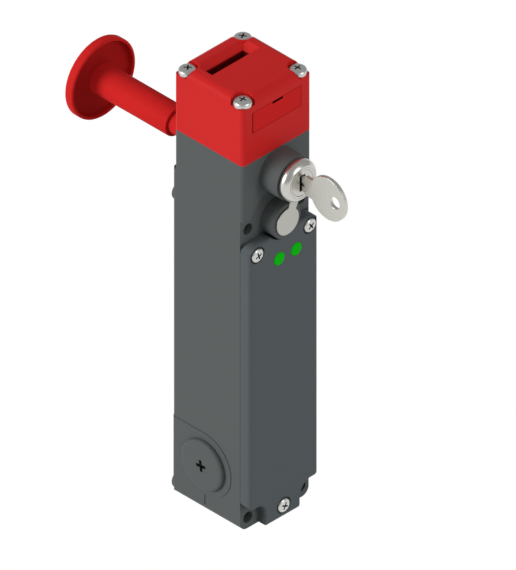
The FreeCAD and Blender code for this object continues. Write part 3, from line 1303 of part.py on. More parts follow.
export([
    housing_body(),
    front_lid(),
    lid_gasket(),
    lid_screws(),
    led_lens("led_lens_left", s.lens_left),
    led_lens("led_lens_right", s.lens_right),
    led_board(),
    actuator_head(),
    head_gasket(),
    head_screws(),
    front_slot_blank(),
    rotor_axle(),
    head_rotor(),
    locking_bolt(),
    solenoid_armature(),
    lock_monitor_arm(),
    guard_tappet(),
    contact_block("guard_contact_block", -1),
    contact_block("lock_contact_block", 1),
    solenoid_yoke(),
    solenoid_pole(),
    solenoid_bobbin(),
    solenoid_coil(),
    bolt_spring(),
    terminal_strip(),
    terminal_screws(),
    lock_barrel(),
    lock_core(),
    lock_cam(),
    lock_nut(),
    key(),
    release_cover(),
    cover_rivet(),
    aux_release_spindle(),
    spindle_seal(),
    escape_rod(),
    escape_clip(),
    escape_bush(),
    escape_knob(),
    plug("plug_left", -1),
    plug("plug_right", 1),
    plug_seal("plug_seal_left", -1),
    plug_seal("plug_seal_right", 1),
])
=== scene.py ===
import json
import math

import bpy
from mathutils import Matrix, Vector

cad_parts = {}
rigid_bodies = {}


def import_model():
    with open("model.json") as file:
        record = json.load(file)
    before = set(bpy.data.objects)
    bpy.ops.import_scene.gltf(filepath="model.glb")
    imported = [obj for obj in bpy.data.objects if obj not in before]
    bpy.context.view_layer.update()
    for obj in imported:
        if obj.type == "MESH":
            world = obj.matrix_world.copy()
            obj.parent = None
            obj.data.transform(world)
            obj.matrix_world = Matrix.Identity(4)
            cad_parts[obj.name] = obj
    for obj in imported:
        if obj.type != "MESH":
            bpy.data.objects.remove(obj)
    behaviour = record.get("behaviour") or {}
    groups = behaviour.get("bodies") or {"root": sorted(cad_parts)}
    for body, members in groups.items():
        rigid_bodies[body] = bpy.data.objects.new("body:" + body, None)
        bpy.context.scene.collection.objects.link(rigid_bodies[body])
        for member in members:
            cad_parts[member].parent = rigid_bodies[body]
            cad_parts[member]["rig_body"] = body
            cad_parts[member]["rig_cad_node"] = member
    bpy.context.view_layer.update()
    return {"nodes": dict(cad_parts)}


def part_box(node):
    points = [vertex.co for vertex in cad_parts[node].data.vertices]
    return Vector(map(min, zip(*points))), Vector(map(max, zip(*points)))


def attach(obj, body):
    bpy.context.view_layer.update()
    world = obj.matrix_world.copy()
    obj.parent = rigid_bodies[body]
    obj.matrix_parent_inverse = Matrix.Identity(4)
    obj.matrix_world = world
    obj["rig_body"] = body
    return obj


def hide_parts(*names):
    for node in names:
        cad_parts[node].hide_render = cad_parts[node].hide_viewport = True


mm = 0.001


# Start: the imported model, and the CAD box before anything is added.
for old in list(bpy.data.objects):
    bpy.data.objects.remove(old)
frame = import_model()
nodes = frame["nodes"]
print("frame loaded:", len(nodes), "nodes")


# Small helpers for node trees.
def addNode(tree, kind, **values):
    node = tree.nodes.new(kind)
    for name, value in values.items():
        if name in node.inputs:
            node.inputs[name].default_value = value
        else:
            setattr(node, name, value)
    return node


def makeGroup(name, inputs, outputs):
    group = bpy.data.node_groups.new(name, "ShaderNodeTree")
    for label, kind, start in inputs:
        socket = group.interface.new_socket(label, in_out="INPUT", socket_type=kind)
        socket.default_value = start
    for label, kind in outputs:
        group.interface.new_socket(label, in_out="OUTPUT", socket_type=kind)
    return group, group.nodes.new("NodeGroupInput"), group.nodes.new("NodeGroupOutput")


# Paint grain: a fine orange-peel height and a faint colour drift, for painted castings and plastics.
def makePaintGrain():
    inputs = [
        ("Color", "NodeSocketColor", (0.5, 0.5, 0.5, 1)),
        ("Grain Scale", "NodeSocketFloat", 2000.0),
        ("Drift", "NodeSocketFloat", 0.04),
        ("Roughness", "NodeSocketFloat", 0.45),
        ("Height", "NodeSocketFloat", 0.1),
    ]
    outputs = [("Color", "NodeSocketColor"), ("Roughness", "NodeSocketFloat"), ("Normal", "NodeSocketVector")]
    group, entry, leave = makeGroup("paintGrain", inputs, outputs)
    link = group.links.new
    place = addNode(group, "ShaderNodeTexCoord")
    grain = addNode(group, "ShaderNodeTexNoise", Detail=3.0, Roughness=0.6)
    link(place.outputs["Object"], grain.inputs["Vector"])
    link(entry.outputs["Grain Scale"], grain.inputs["Scale"])
    cloud = addNode(group, "ShaderNodeTexNoise", Scale=45.0, Detail=2.0)
    link(place.outputs["Object"], cloud.inputs["Vector"])
    centred = addNode(group, "ShaderNodeMath", operation="SUBTRACT")
    link(cloud.outputs["Fac"], centred.inputs[0])
    centred.inputs[1].default_value = 0.5
    drift = addNode(group, "ShaderNodeMath", operation="MULTIPLY_ADD")
    link(centred.outputs[0], drift.inputs[0])
    link(entry.outputs["Drift"], drift.inputs[1])
    drift.inputs[2].default_value = 1.0
    tint = addNode(group, "ShaderNodeVectorMath", operation="SCALE")
    link(entry.outputs["Color"], tint.inputs[0])
    link(drift.outputs[0], tint.inputs["Scale"])
    link(tint.outputs[0], leave.inputs["Color"])
    rough = addNode(group, "ShaderNodeMath", operation="MULTIPLY_ADD")
    link(grain.outputs["Fac"], rough.inputs[0])
    rough.inputs[1].default_value = 0.12
    link(entry.outputs["Roughness"], rough.inputs[2])
    link(rough.outputs[0], leave.inputs["Roughness"])
    bump = addNode(group, "ShaderNodeBump", Distance=0.0002)
    link(grain.outputs["Fac"], bump.inputs["Height"])
    link(entry.outputs["Height"], bump.inputs["Strength"])
    link(bump.outputs["Normal"], leave.inputs["Normal"])
    return group


# Turned metal: rings round an axis through a point, with a little streaking.
def makeTurnedRings():
    inputs = [
        ("Color", "NodeSocketColor", (0.7, 0.7, 0.7, 1)),
        ("Centre", "NodeSocketVector", (0.0, 0.0, 0.0)),
        ("Ring Scale", "NodeSocketFloat", 6000.0),
        ("Roughness", "NodeSocketFloat", 0.25),
        ("Height", "NodeSocketFloat", 0.15),
    ]
    outputs = [("Color", "NodeSocketColor"), ("Roughness", "NodeSocketFloat"), ("Normal", "NodeSocketVector")]
    group, entry, leave = makeGroup("turnedRings", inputs, outputs)
    link = group.links.new
    place = addNode(group, "ShaderNodeTexCoord")
    shifted = addNode(group, "ShaderNodeVectorMath", operation="SUBTRACT")
    link(place.outputs["Object"], shifted.inputs[0])
    link(entry.outputs["Centre"], shifted.inputs[1])
    parts = addNode(group, "ShaderNodeSeparateXYZ")
    link(shifted.outputs[0], parts.inputs[0])
    flatPlace = addNode(group, "ShaderNodeCombineXYZ")
    link(parts.outputs["X"], flatPlace.inputs["X"])
    link(parts.outputs["Z"], flatPlace.inputs["Y"])
    radius = addNode(group, "ShaderNodeVectorMath", operation="LENGTH")
    link(flatPlace.outputs[0], radius.inputs[0])
    rings = addNode(group, "ShaderNodeTexNoise", noise_dimensions="1D", Detail=2.0)
    link(radius.outputs["Value"], rings.inputs["W"])
    link(entry.outputs["Ring Scale"], rings.inputs["Scale"])
    shade = addNode(group, "ShaderNodeMath", operation="MULTIPLY_ADD")
    link(rings.outputs["Fac"], shade.inputs[0])
    shade.inputs[1].default_value = 0.12
    shade.inputs[2].default_value = 0.94
    tint = addNode(group, "ShaderNodeVectorMath", operation="SCALE")
    link(entry.outputs["Color"], tint.inputs[0])
    link(shade.outputs[0], tint.inputs["Scale"])
    link(tint.outputs[0], leave.inputs["Color"])
    rough = addNode(group, "ShaderNodeMath", operation="MULTIPLY_ADD")
    link(rings.outputs["Fac"], rough.inputs[0])
    rough.inputs[1].default_value = 0.1
    link(entry.outputs["Roughness"], rough.inputs[2])
    link(rough.outputs[0], leave.inputs["Roughness"])
    bump = addNode(group, "ShaderNodeBump", Distance=0.00005)
    link(rings.outputs["Fac"], bump.inputs["Height"])
    link(entry.outputs["Height"], bump.inputs["Strength"])
    link(bump.outputs["Normal"], leave.inputs["Normal"])
    return group


# Shaded box: painted shade that darkens the colour inside a box, for deep recesses and for the seam under the
# lid.
def makeShadedBox():
    inputs = [
        ("Color", "NodeSocketColor", (0.5, 0.5, 0.5, 1)),
        ("Centre", "NodeSocketVector", (0.0, 0.0, 0.0)),
        ("Half Size", "NodeSocketVector", (0.01, 0.01, 0.01)),
        ("Shade", "NodeSocketFloat", 0.2),
    ]
    group, entry, leave = makeGroup("shadedBox", inputs, [("Color", "NodeSocketColor")])
    link = group.links.new
    place = addNode(group, "ShaderNodeTexCoord")
    shifted = addNode(group, "ShaderNodeVectorMath", operation="SUBTRACT")
    link(place.outputs["Object"], shifted.inputs[0])
    link(entry.outputs["Centre"], shifted.inputs[1])
    away = addNode(group, "ShaderNodeVectorMath", operation="ABSOLUTE")
    link(shifted.outputs[0], away.inputs[0])
    share = addNode(group, "ShaderNodeVectorMath", operation="DIVIDE")
    link(away.outputs[0], share.inputs[0])
    link(entry.outputs["Half Size"], share.inputs[1])
    parts = addNode(group, "ShaderNodeSeparateXYZ")
    link(share.outputs[0], parts.inputs[0])
    wider = addNode(group, "ShaderNodeMath", operation="MAXIMUM")
    link(parts.outputs["X"], wider.inputs[0])
    link(parts.outputs["Y"], wider.inputs[1])
    widest = addNode(group, "ShaderNodeMath", operation="MAXIMUM")
    link(wider.outputs[0], widest.inputs[0])
    link(parts.outputs["Z"], widest.inputs[1])
    inside = addNode(group, "ShaderNodeMath", operation="LESS_THAN")
    link(widest.outputs[0], inside.inputs[0])
    inside.inputs[1].default_value = 1.0
    less = addNode(group, "ShaderNodeMath", operation="SUBTRACT")
    less.inputs[0].default_value = 1.0
    link(entry.outputs["Shade"], less.inputs[1])
    strength = addNode(group, "ShaderNodeMath", operation="MULTIPLY")
    link(inside.outputs[0], strength.inputs[0])
    link(less.outputs[0], strength.inputs[1])
    keep = addNode(group, "ShaderNodeMath", operation="SUBTRACT")
    keep.inputs[0].default_value = 1.0
    link(strength.outputs[0], keep.inputs[1])
    tint = addNode(group, "ShaderNodeVectorMath", operation="SCALE")
    link(entry.outputs["Color"], tint.inputs[0])
    link(keep.outputs[0], tint.inputs["Scale"])
    link(tint.outputs[0], leave.inputs["Color"])
    return group


paintGrain = makePaintGrain()
turnedRings = makeTurnedRings()
shadedBox = makeShadedBox()


# A material whose colour, roughness and normal come from one of the groups, with its own values.
def groupedMaterial(name, color, group, **values):
    material = bpy.data.materials.new(name)
    material.use_nodes = True
    material.diffuse_color = (*color, 1)
    tree = material.node_tree
    shader = tree.nodes["Principled BSDF"]
    effect = addNode(tree, "ShaderNodeGroup", node_tree=group)
    effect.inputs["Color"].default_value = (*color, 1)
    for label, value in values.items():
        effect.inputs[label].default_value = value
    for label, socket in (("Color", "Base Color"), ("Roughness", "Roughness"), ("Normal", "Normal")):
        tree.links.new(effect.outputs[label], shader.inputs[socket])
    return material, shader


def paintedMaterial(name, color, roughness, specular=0.12, grainScale=2500.0, height=0.1):
    values = {"Roughness": roughness, "Grain Scale": grainScale, "Drift": 0.05, "Height": height}
    material, shader = groupedMaterial(name, color, paintGrain, **values)
    shader.inputs["Specular IOR Level"].default_value = specular
    return material


def metalMaterial(name, color, roughness):
    material = paintedMaterial(name, color, roughness, specular=0.5, grainScale=1500.0)
    material.node_tree.nodes["Principled BSDF"].inputs["Metallic"].default_value = 1.0
    return material


def turnedMaterial(name, color, centre, roughness, ringScale=6000.0, height=0.15):
    values = {"Roughness": roughness, "Centre": centre, "Ring Scale": ringScale, "Height": height}
    material, shader = groupedMaterial(name, color, turnedRings, **values)
    shader.inputs["Metallic"].default_value = 1.0
    return material


# Paints shade into a material: darkens it inside a box, given in mm.
def shadeInside(material, centre, halfSize, shade):
    tree = material.node_tree
    socket = tree.nodes["Principled BSDF"].inputs["Base Color"]
    source = socket.links[0].from_socket
    box = addNode(tree, "ShaderNodeGroup", node_tree=shadedBox)
    box.inputs["Centre"].default_value = [value * mm for value in centre]
    box.inputs["Half Size"].default_value = [value * mm for value in halfSize]
    box.inputs["Shade"].default_value = shade
    tree.links.new(source, box.inputs["Color"])
    tree.links.new(box.outputs["Color"], socket)


def middle(node):
    low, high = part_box(node)
    return (low + high) / 2


greyPaint = paintedMaterial("greyPaint", (0.096, 0.106, 0.105), 0.45, specular=0.08)
coarseGrain = {"grainScale": 1800.0, "height": 0.16}
lidPaint = paintedMaterial("lidPaint", (0.092, 0.106, 0.112), 0.45, specular=0.08, **coarseGrain)
redPaint = paintedMaterial("redPaint", (0.61, 0.019, 0.018), 0.4, specular=0.07)
redPlastic = paintedMaterial("redPlastic", (0.63, 0.020, 0.019), 0.42, specular=0.01, height=0.05)
# Painted shade: a darker copy of the red plastic for the inside of the escape button's dish.
paintedDishShade = paintedMaterial("paintedDishShade", (0.45, 0.015, 0.014), 0.46, specular=0.01, height=0.05)
darkPlastic = paintedMaterial("darkPlastic", (0.095, 0.104, 0.103), 0.5)
blackPlastic = paintedMaterial("blackPlastic", (0.02, 0.02, 0.022), 0.5)
whitePlastic = paintedMaterial("whitePlastic", (0.7, 0.7, 0.66), 0.45)
lensPlastic = paintedMaterial("lensPlastic", (0.0, 0.50, 0.002), 0.3, specular=0.03, height=0.03)
nickelPlain = metalMaterial("nickelPlain", (0.62, 0.61, 0.56), 0.28)
steelPlain = metalMaterial("steelPlain", (0.55, 0.55, 0.53), 0.35)
screwZinc = metalMaterial("screwZinc", (0.62, 0.62, 0.60), 0.3)
copperWire = metalMaterial("copperWire", (0.72, 0.36, 0.18), 0.35)
brassPlain = metalMaterial("brassPlain", (0.75, 0.6, 0.3), 0.3)
blackRubber = paintedMaterial("blackRubber", (0.02, 0.02, 0.02), 0.7)
boardGreen = paintedMaterial("boardGreen", (0.02, 0.2, 0.08), 0.4)
lockCentre = tuple(middle("lock_barrel"))
nickelTurned = turnedMaterial("nickelTurned", (0.62, 0.61, 0.57), lockCentre, 0.24)
coreTurned = turnedMaterial("coreTurned", (0.58, 0.57, 0.53), lockCentre, 0.26, ringScale=4000.0, height=0.3)
coverSteel = metalMaterial("coverSteel", (0.50, 0.50, 0.46), 0.4)
# Painted shade: near-black materials for the cut faces of the cross recesses in the screws and plugs, in
# place of their shade.
paintedRecessShade = paintedMaterial("paintedRecessShade", (0.05, 0.052, 0.05), 0.6)
paintedPlugRecessShade = paintedMaterial("paintedPlugRecessShade", (0.016, 0.017, 0.016), 0.6)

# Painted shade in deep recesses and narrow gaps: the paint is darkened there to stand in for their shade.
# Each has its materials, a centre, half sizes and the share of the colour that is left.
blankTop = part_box("front_slot_blank")[1].z / mm
recesses = {
    "actuator slot": ([redPaint], (0, 8.85, 203.5), (10.95, 2.0, 10.0), 0.28),
    "slit of the blank": ([redPlastic], (0.45, -19.1, blankTop - 0.5), (3.1, 0.78, 0.55), 0.1),
    "gap beside the blank": ([redPaint, redPlastic], (-14.12, -19.1, blankTop - 4.9), (0.25, 1.0, 5.1), 0.2),
    "keyway": ([coreTurned], (0, -33.9, 174.7), (1.8, 0.76, 4.0), 0.06),
    "lid seam": ([greyPaint, lidPaint], (0, -18.5, 79), (30, 0.14, 65.8), 0.45),
}
for darkened, centre, halfSize, shade in recesses.values():
    for material in darkened:
        shadeInside(material, centre, halfSize, shade)
print("recesses shaded:", len(recesses))

finishes = {
    greyPaint: ["housing_body"],
    lidPaint: ["front_lid"],
    redPaint: ["actuator_head"],
    redPlastic: ["front_slot_blank", "escape_rod", "escape_knob"],
    darkPlastic: ["plug_left", "plug_right"],
    blackPlastic: ["lock_monitor_arm", "guard_contact_block", "lock_contact_block"],
    whitePlastic: ["solenoid_bobbin", "terminal_strip"],
    lensPlastic: ["led_lens_left", "led_lens_right"],
    nickelPlain: ["key"],
    nickelTurned: ["lock_barrel"],
    coreTurned: ["lock_core"],
    steelPlain: ["rotor_axle", "head_rotor", "locking_bolt", "solenoid_armature", "guard_tappet",
                 "solenoid_yoke", "solenoid_pole", "bolt_spring", "lock_cam", "escape_clip"],
    screwZinc: ["lid_screws", "head_screws", "terminal_screws"],
    copperWire: ["solenoid_coil"],
    brassPlain: ["lock_nut", "aux_release_spindle", "escape_bush"],
    blackRubber: ["lid_gasket", "head_gasket", "spindle_seal", "plug_seal_left", "plug_seal_right"],
    boardGreen: ["led_board"],
    coverSteel: ["release_cover", "cover_rivet"],
}
for material, names in finishes.items():
    for name in names:
        nodes[name].data.materials.clear()
        nodes[name].data.materials.append(material)
print("finishes given to", sum(len(names) for names in finishes.values()), "nodes")


# Modelling helpers. Every piece ends up at the origin with its place in its mesh.
def clearSelection():
    if bpy.context.mode != "OBJECT":
        bpy.ops.object.mode_set(mode="OBJECT")
    bpy.ops.object.select_all(action="DESELECT")


def makeActive(piece):
    clearSelection()
    piece.select_set(True)
    bpy.context.view_layer.objects.active = piece


def settle(piece, smoothAngle=35):
    makeActive(piece)
    bpy.ops.object.transform_apply(location=True, rotation=True, scale=True)
    bpy.ops.object.shade_smooth_by_angle(angle=math.radians(smoothAngle))


def applyModifier(piece, kind, **settings):
    makeActive(piece)
    modifier = piece.modifiers.new(kind.lower(), kind)
    for name, value in settings.items():
        setattr(modifier, name, value)
    bpy.ops.object.modifier_apply(modifier=modifier.name)


# A turned shape round the Z axis: each pair of the profile is a radius and a height.
# A ring's profile is closed and leaves the middle open.
def turned(name, profile, material, vertices=96, ring=False):
    clearSelection()
    radius, height = profile[0]
    fill = "NOTHING" if ring else "NGON"
    start = (0, 0, height * mm)
    bpy.ops.mesh.primitive_circle_add(vertices=vertices, radius=radius * mm, fill_type=fill, location=start)
    piece = bpy.context.object
    piece.name = name
    bpy.ops.object.transform_apply(location=True)
    bpy.ops.object.mode_set(mode="EDIT")
    bpy.ops.mesh.select_all(action="SELECT")
    if ring:
        profile = [*profile, profile[0]]
    for nextRadius, nextHeight in profile[1:]:
        grow = bpy.ops.mesh.extrude_edges_move if ring else bpy.ops.mesh.extrude_region_move
        grow(TRANSFORM_OT_translate={"value": (0, 0, (nextHeight - height) * mm)})
        scale = nextRadius / radius
        bpy.ops.transform.resize(value=(scale, scale, 1), center_override=(0, 0, nextHeight * mm))
        radius, height = nextRadius, nextHeight
    bpy.ops.mesh.select_all(action="SELECT")
    bpy.ops.mesh.remove_doubles(threshold=0.000001)
    bpy.ops.mesh.normals_make_consistent(inside=False)
    bpy.ops.object.mode_set(mode="OBJECT")
    piece.data.materials.append(material)
    return piece


# Two tapered bars that cut a cross recess into a face at the height top.
def crossCutter(sizes, top, material):
    reach, half, depth = sizes["crossReach"], sizes["crossHalf"], sizes["crossDepth"]
    narrowing = 0.55
    arms = []
    for turn in (0, 90):
        clearSelection()
        rotation = (0, 0, math.radians(turn))
        bpy.ops.mesh.primitive_cube_add(size=2, location=(0, 0, top * mm), rotation=rotation)
        arm = bpy.context.object
        arm.scale = (reach * mm, half * mm, depth * mm)
        bpy.ops.object.transform_apply(location=True, rotation=True, scale=True)
        bpy.ops.object.mode_set(mode="EDIT")
        bpy.ops.mesh.select_all(action="DESELECT")
        bpy.ops.object.mode_set(mode="OBJECT")
        for face in arm.data.polygons:
            face.select = face.normal.z < -0.9
        bpy.ops.object.mode_set(mode="EDIT")
        bpy.ops.mesh.select_mode(type="FACE")
        bpy.ops.transform.resize(value=(narrowing, narrowing, 1), center_override=(0, 0, (top - depth) * mm))
        bpy.ops.object.mode_set(mode="OBJECT")
        arm.data.materials.append(material)
        arms.append(arm)
    return arms


def combine(piece, tool, operation, **settings):
    applyModifier(piece, "BOOLEAN", operation=operation, object=tool, solver="EXACT", **settings)


def cut(piece, *cutters, **settings):
    for cutter in cutters:
        combine(piece, cutter, "DIFFERENCE", **settings)
        bpy.data.objects.remove(cutter)


# Stands a piece that was made round the Z axis at a place, with its top towards a direction.
def place(piece, at, towards, turn=0):
    makeActive(piece)
    direction = Vector(towards).to_track_quat("Z", "Y").to_matrix().to_4x4()
    spin = Matrix.Rotation(math.radians(turn), 4, "Z")
    piece.matrix_world = Matrix.Translation(Vector(at)) @ direction @ spin
    settle(piece)


def copyPiece(piece, name):
    twin = piece.copy()
    twin.data = piece.data.copy()
    twin.name = name
    bpy.context.scene.collection.objects.link(twin)
    return twin


def finishPiece(piece, body, slotName, *replaced):
    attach(piece, body)
    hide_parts(*replaced)


# A copy of a solid with its loose triangles joined and its flat faces made whole.
def mergedCopy(node, name, angle=1):
    piece = copyPiece(nodes[node], name)
    piece.parent = None
    makeActive(piece)
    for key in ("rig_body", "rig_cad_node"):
        if key in piece:
            del piece[key]
    bpy.ops.object.mode_set(mode="EDIT")
    bpy.ops.mesh.select_all(action="SELECT")
    bpy.ops.mesh.remove_doubles(threshold=0.000002)
    bpy.ops.mesh.dissolve_limited(angle_limit=math.radians(angle))
    bpy.ops.object.mode_set(mode="OBJECT")
    return piece


# Screws with a pan head and a cross recess, in two sizes.
def panScrew(name, sizes):
    radius, rise = sizes["radius"], sizes["rise"]
    dome = [(0.985, 0), (1, 0.12), (1, 0.5), (0.97, 0.66), (0.9, 0.8), (0.78, 0.9), (0.6, 0.965), (0.3, 1)]
    profile = [(sizes["shank"], -sizes["length"]), (sizes["shank"], -0.01)]
    profile += [(radius * across, rise * up) for across, up in dome]
    screw = turned(name, profile, screwZinc, vertices=64)
    # The faces of the cross recess take the painted shade material.
    cut(screw, *crossCutter(sizes, rise, paintedRecessShade), material_mode="TRANSFER")
    return screw


# Copies the screw to each spot, every one turned a little differently, as screws come to rest.
def placeScrews(sizes, name, node, spots, towards):
    pattern = panScrew(name, sizes)
    for index, (spot, turn) in enumerate(zip(spots, sizes["turns"])):
        screw = copyPiece(pattern, name + str(index + 1))
        place(screw, spot, towards, turn)
        finishPiece(screw, "housing", "zinc_screw", node)
    bpy.data.objects.remove(pattern)


headScrew = {
    "radius": 4.0, "rise": 2.8, "shank": 1.75, "length": 36,
    "crossReach": 2.25, "crossHalf": 0.5, "crossDepth": 1.4, "turns": (12, 40, 5, 30),
}
low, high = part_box("head_screws")
side = high.x / mm - headScrew["radius"]
headSpots = [(x * side, y * side) for x in (-1, 1) for y in (-1, 1)]
under = high.z - headScrew["rise"] * mm
placeScrews(headScrew, "headScrew", "head_screws", [(x * mm, y * mm, under) for x, y in headSpots], (0, 0, 1))

lidScrew = {
    "radius": 3.25, "rise": 2.0, "shank": 1.5, "length": 11,
    "crossReach": 2.3, "crossHalf": 0.48, "crossDepth": 1.1, "turns": (20, 35, 65),
}
low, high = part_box("lid_screws")
side = high.x / mm - lidScrew["radius"]
top = high.z / mm - lidScrew["radius"]
lidSpots = [(-side, top), (side, top), (0, low.z / mm + lidScrew["radius"])]
under = low.y + lidScrew["rise"] * mm
placeScrews(lidScrew, "lidScrew", "lid_screws", [(x * mm, under, z * mm) for x, z in lidSpots], (0, -1, 0))
print("screws placed:", len(headSpots) + len(lidSpots))


# Lock bezel: a domed ring with two fine grooves round the core, on its barrel.
low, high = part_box("lock_barrel")
rear = (high.y - low.y) / mm
bezel = {
    "barrel": [(6.1, rear), (8.0, rear), (8.0, 4.7), (9.2, 4.7)],
    "dome": [
        (9.55, 4.0), (9.7, 3.3), (9.7, 2.7), (9.55, 2.0), (9.25, 1.4), (8.8, 0.85), (8.3, 0.4), (7.95, 0.15),
    ],
    "face": [(7.6, 0.0), (7.3, 0.0), (7.2, 0.18), (7.0, 0.18), (6.9, 0.0), (6.3, 0.0), (6.1, 0.15)],
}
profile = [(radius, -back) for radius, back in bezel["barrel"] + bezel["dome"] + bezel["face"]]
lockBezel = turned("lockBezel", profile, nickelTurned, vertices=128, ring=True)
place(lockBezel, (0, low.y, lockCentre[2]), (0, -1, 0))
finishPiece(lockBezel, "housing", "nickel", "lock_barrel")
print("lock bezel turned")


# Key and release cover: the solids with softened edges.
softEdge = {"width": 0.18, "segments": 3, "sharperThan": 40}


def softened(node, name, material, body, slotName):
    piece = mergedCopy(node, name)
    bevel = {"width": softEdge["width"] * mm, "segments": softEdge["segments"]}
    bevel.update(limit_method="ANGLE", angle_limit=math.radians(softEdge["sharperThan"]))
    applyModifier(piece, "BEVEL", **bevel)
    piece.data.materials.clear()
    piece.data.materials.append(material)
    settle(piece)
    applyModifier(piece, "WEIGHTED_NORMAL", keep_sharp=True)
    finishPiece(piece, body, slotName, node)


softened("key", "flatKey", nickelPlain, "key", "nickel")
softened("release_cover", "releaseCover", coverSteel, "cover", "cover_steel")
print("key and cover softened")


# Corner pockets: a rim on the inner side of each draws them in closer round the screws.
# The pocket is drilled to "pocket", the rim reaches out to "fill", and "open" leaves its outer side away.
head = {
    "corner": 1.8, "topCorner": 4.0, "inset": 0.02,
    "pocket": 4.35, "fill": 5.3, "seat": 212.9, "open": 1.2,
}
low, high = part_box("actuator_head")


# The head's outer shape, a trace smaller, which trims the rims.
def headOutline():
    clearSelection()
    bpy.ops.mesh.primitive_cube_add(size=1, location=(low + high) / 2)
    block = bpy.context.object
    block.scale = high - low - Vector((2, 2, 2)) * head["inset"] * mm
    bpy.ops.object.transform_apply(location=True, scale=True)
    for radius, uprights in ((head["topCorner"], False), (head["corner"], True)):
        bpy.ops.object.mode_set(mode="EDIT")
        bpy.ops.mesh.select_mode(type="EDGE")
        bpy.ops.mesh.select_all(action="DESELECT")
        bpy.ops.object.mode_set(mode="OBJECT")
        points = block.data.vertices
        for edge in block.data.edges:
            start, end = (points[index].co for index in edge.vertices)
            atTop = min(start.z, end.z) > high.z - 0.1 * mm
            upright = abs(start.z - end.z) > 20 * mm
            edge.select = upright if uprights else atTop
        bpy.ops.object.mode_set(mode="EDIT")
        bpy.ops.mesh.bevel(offset=radius * mm, segments=12, affect="EDGES")
        bpy.ops.object.mode_set(mode="OBJECT")
    return block


blockHalf = 10
for index, (x, y) in enumerate(headSpots):
    spot = Vector((x, y, 0)) * mm
    above = high.z / mm
    profile = [(head["fill"], head["seat"]), (head["fill"], above + 1)]
    rim = turned("pocketRim" + str(index + 1), profile, redPaint)
    place(rim, spot, (0, 0, 1))
    outline = headOutline()
    profile = [(head["pocket"], head["seat"] - 1), (head["pocket"], above + 2)]
    drill = turned("pocketDrill", profile, redPaint)
    place(drill, spot, (0, 0, 1))
    clearSelection()
    bpy.ops.mesh.primitive_cube_add(size=2 * blockHalf * mm, location=(0, 0, high.z))
    outside = bpy.context.object
    away = spot.normalized()
    place(outside, spot + away * (blockHalf - head["open"]) * mm + Vector((0, 0, high.z)), away)
    combine(rim, outline, "INTERSECT")
    cut(rim, drill, outside)
    bpy.data.objects.remove(outline)
    settle(rim, 30)
    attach(rim, "housing")
print("pocket rims fitted:", len(headSpots))


# Escape button: a mushroom with a curved dish behind a narrow lip, moulded in one with its sleeve.
knob = {
    "crown": 87.0, "crownRadius": 92.0, "crownReach": 18.37, "crownSteps": 10,
    "rim": [(18.52, 85.0), (18.65, 84.7), (18.65, 81.8), (18.55, 81.4), (18.3, 81.1), (17.95, 80.97)],
    "dish": [
        (17.6, 80.95), (17.35, 81.15), (17.2, 81.9), (17.05, 82.9), (16.7, 83.8), (16.0, 84.4), (14.6, 84.95),
        (13.0, 85.25), (11.2, 85.4), (10.2, 85.35), (9.2, 85.0), (8.3, 84.3), (7.55, 83.4), (7.05, 82.2),
        (6.87, 81.0),
    ],
    "sleeve": [(6.85, 60), (6.85, 38.75), (6.72, 38.42), (6.45, 38.3), (5.35, 38.3), (5.35, 39.3)],
    "bore": [(4.1, 39.3), (4.1, 56.1)],
    "shadeFrom": 82.0, "shadeInner": 7.2, "shadeOuter": 17.5,
}
profile = []
for step in range(knob["crownSteps"] + 1):
    radius = max(0.4, knob["crownReach"] * step / knob["crownSteps"])
    fall = knob["crownRadius"] - math.sqrt(knob["crownRadius"] ** 2 - radius ** 2)
    profile.append((radius, knob["crown"] - fall))
profile += knob["rim"] + knob["dish"] + knob["sleeve"] + knob["bore"]
escapeButton = turned("escapeButton", profile, redPlastic, vertices=160)
axis = Vector((0, 0, middle("escape_knob").z))
place(escapeButton, axis, (0, 1, 0))
# The dish faces take the darker copy of the red plastic, as painted shade inside the dish.
escapeButton.data.materials.append(paintedDishShade)
for face in escapeButton.data.polygons:
    radius = (face.center - axis).xz.length / mm
    inDish = face.center.y > knob["shadeFrom"] * mm and face.normal.y < -0.05
    if inDish and knob["shadeInner"] < radius < knob["shadeOuter"]:
        face.material_index = 1
finishPiece(escapeButton, "escape", "red_plastic", "escape_knob")
print("escape button turned")


# Lid: the solid with its outer corners rounded, and notches that run smoothly into the end of its sides.
lid = {
    "topRadius": 4.6, "sideEnd": 13.0, "endRadius": 2.4,
    "notchSide": 15.5, "notchHeight": 5.4, "notchHalf": 6.3, "over": 1.0,
}
lidCasting = mergedCopy("front_lid", "lidCasting", angle=0.3)
low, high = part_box("front_lid")
across, depth = (low.y + high.y) / 2, high.y - low.y + 2 * lid["over"] * mm


# A bar through the lid, square or oval, at a place and with half sizes in mm.
def lidBar(x, z, halfX, halfZ, oval):
    clearSelection()
    if oval:
        bpy.ops.mesh.primitive_cylinder_add(vertices=96, radius=1, depth=2, location=(x * mm, across, z * mm))
    else:
        bpy.ops.mesh.primitive_cube_add(size=2, location=(x * mm, across, z * mm))
    bar = bpy.context.object
    bar.rotation_euler.x = math.pi / 2
    bar.scale = (halfX * mm, halfZ * mm, depth)
    bpy.ops.object.transform_apply(location=True, rotation=True, scale=True)
    return bar


for away in (-1, 1):
    for radius, end, upwards in ((lid["topRadius"], high.z / mm, 1), (lid["endRadius"], lid["sideEnd"], -1)):
        half = (radius + lid["over"]) / 2
        x, z = away * (high.x / mm - radius), end - upwards * radius
        corner = lidBar(x + away * half, z + upwards * half, half, half, False)
        cut(corner, lidBar(x, z, radius, radius, True))
        cut(lidCasting, corner)
    rise = lid["sideEnd"] - lid["notchHeight"]
    cut(lidCasting, lidBar(away * lid["notchSide"], lid["notchHeight"], lid["notchHalf"], rise, True))
settle(lidCasting, 30)
applyModifier(lidCasting, "WEIGHTED_NORMAL", keep_sharp=True)
finishPiece(lidCasting, "housing", "grey_casting", "front_lid")
print("lid corners rounded")


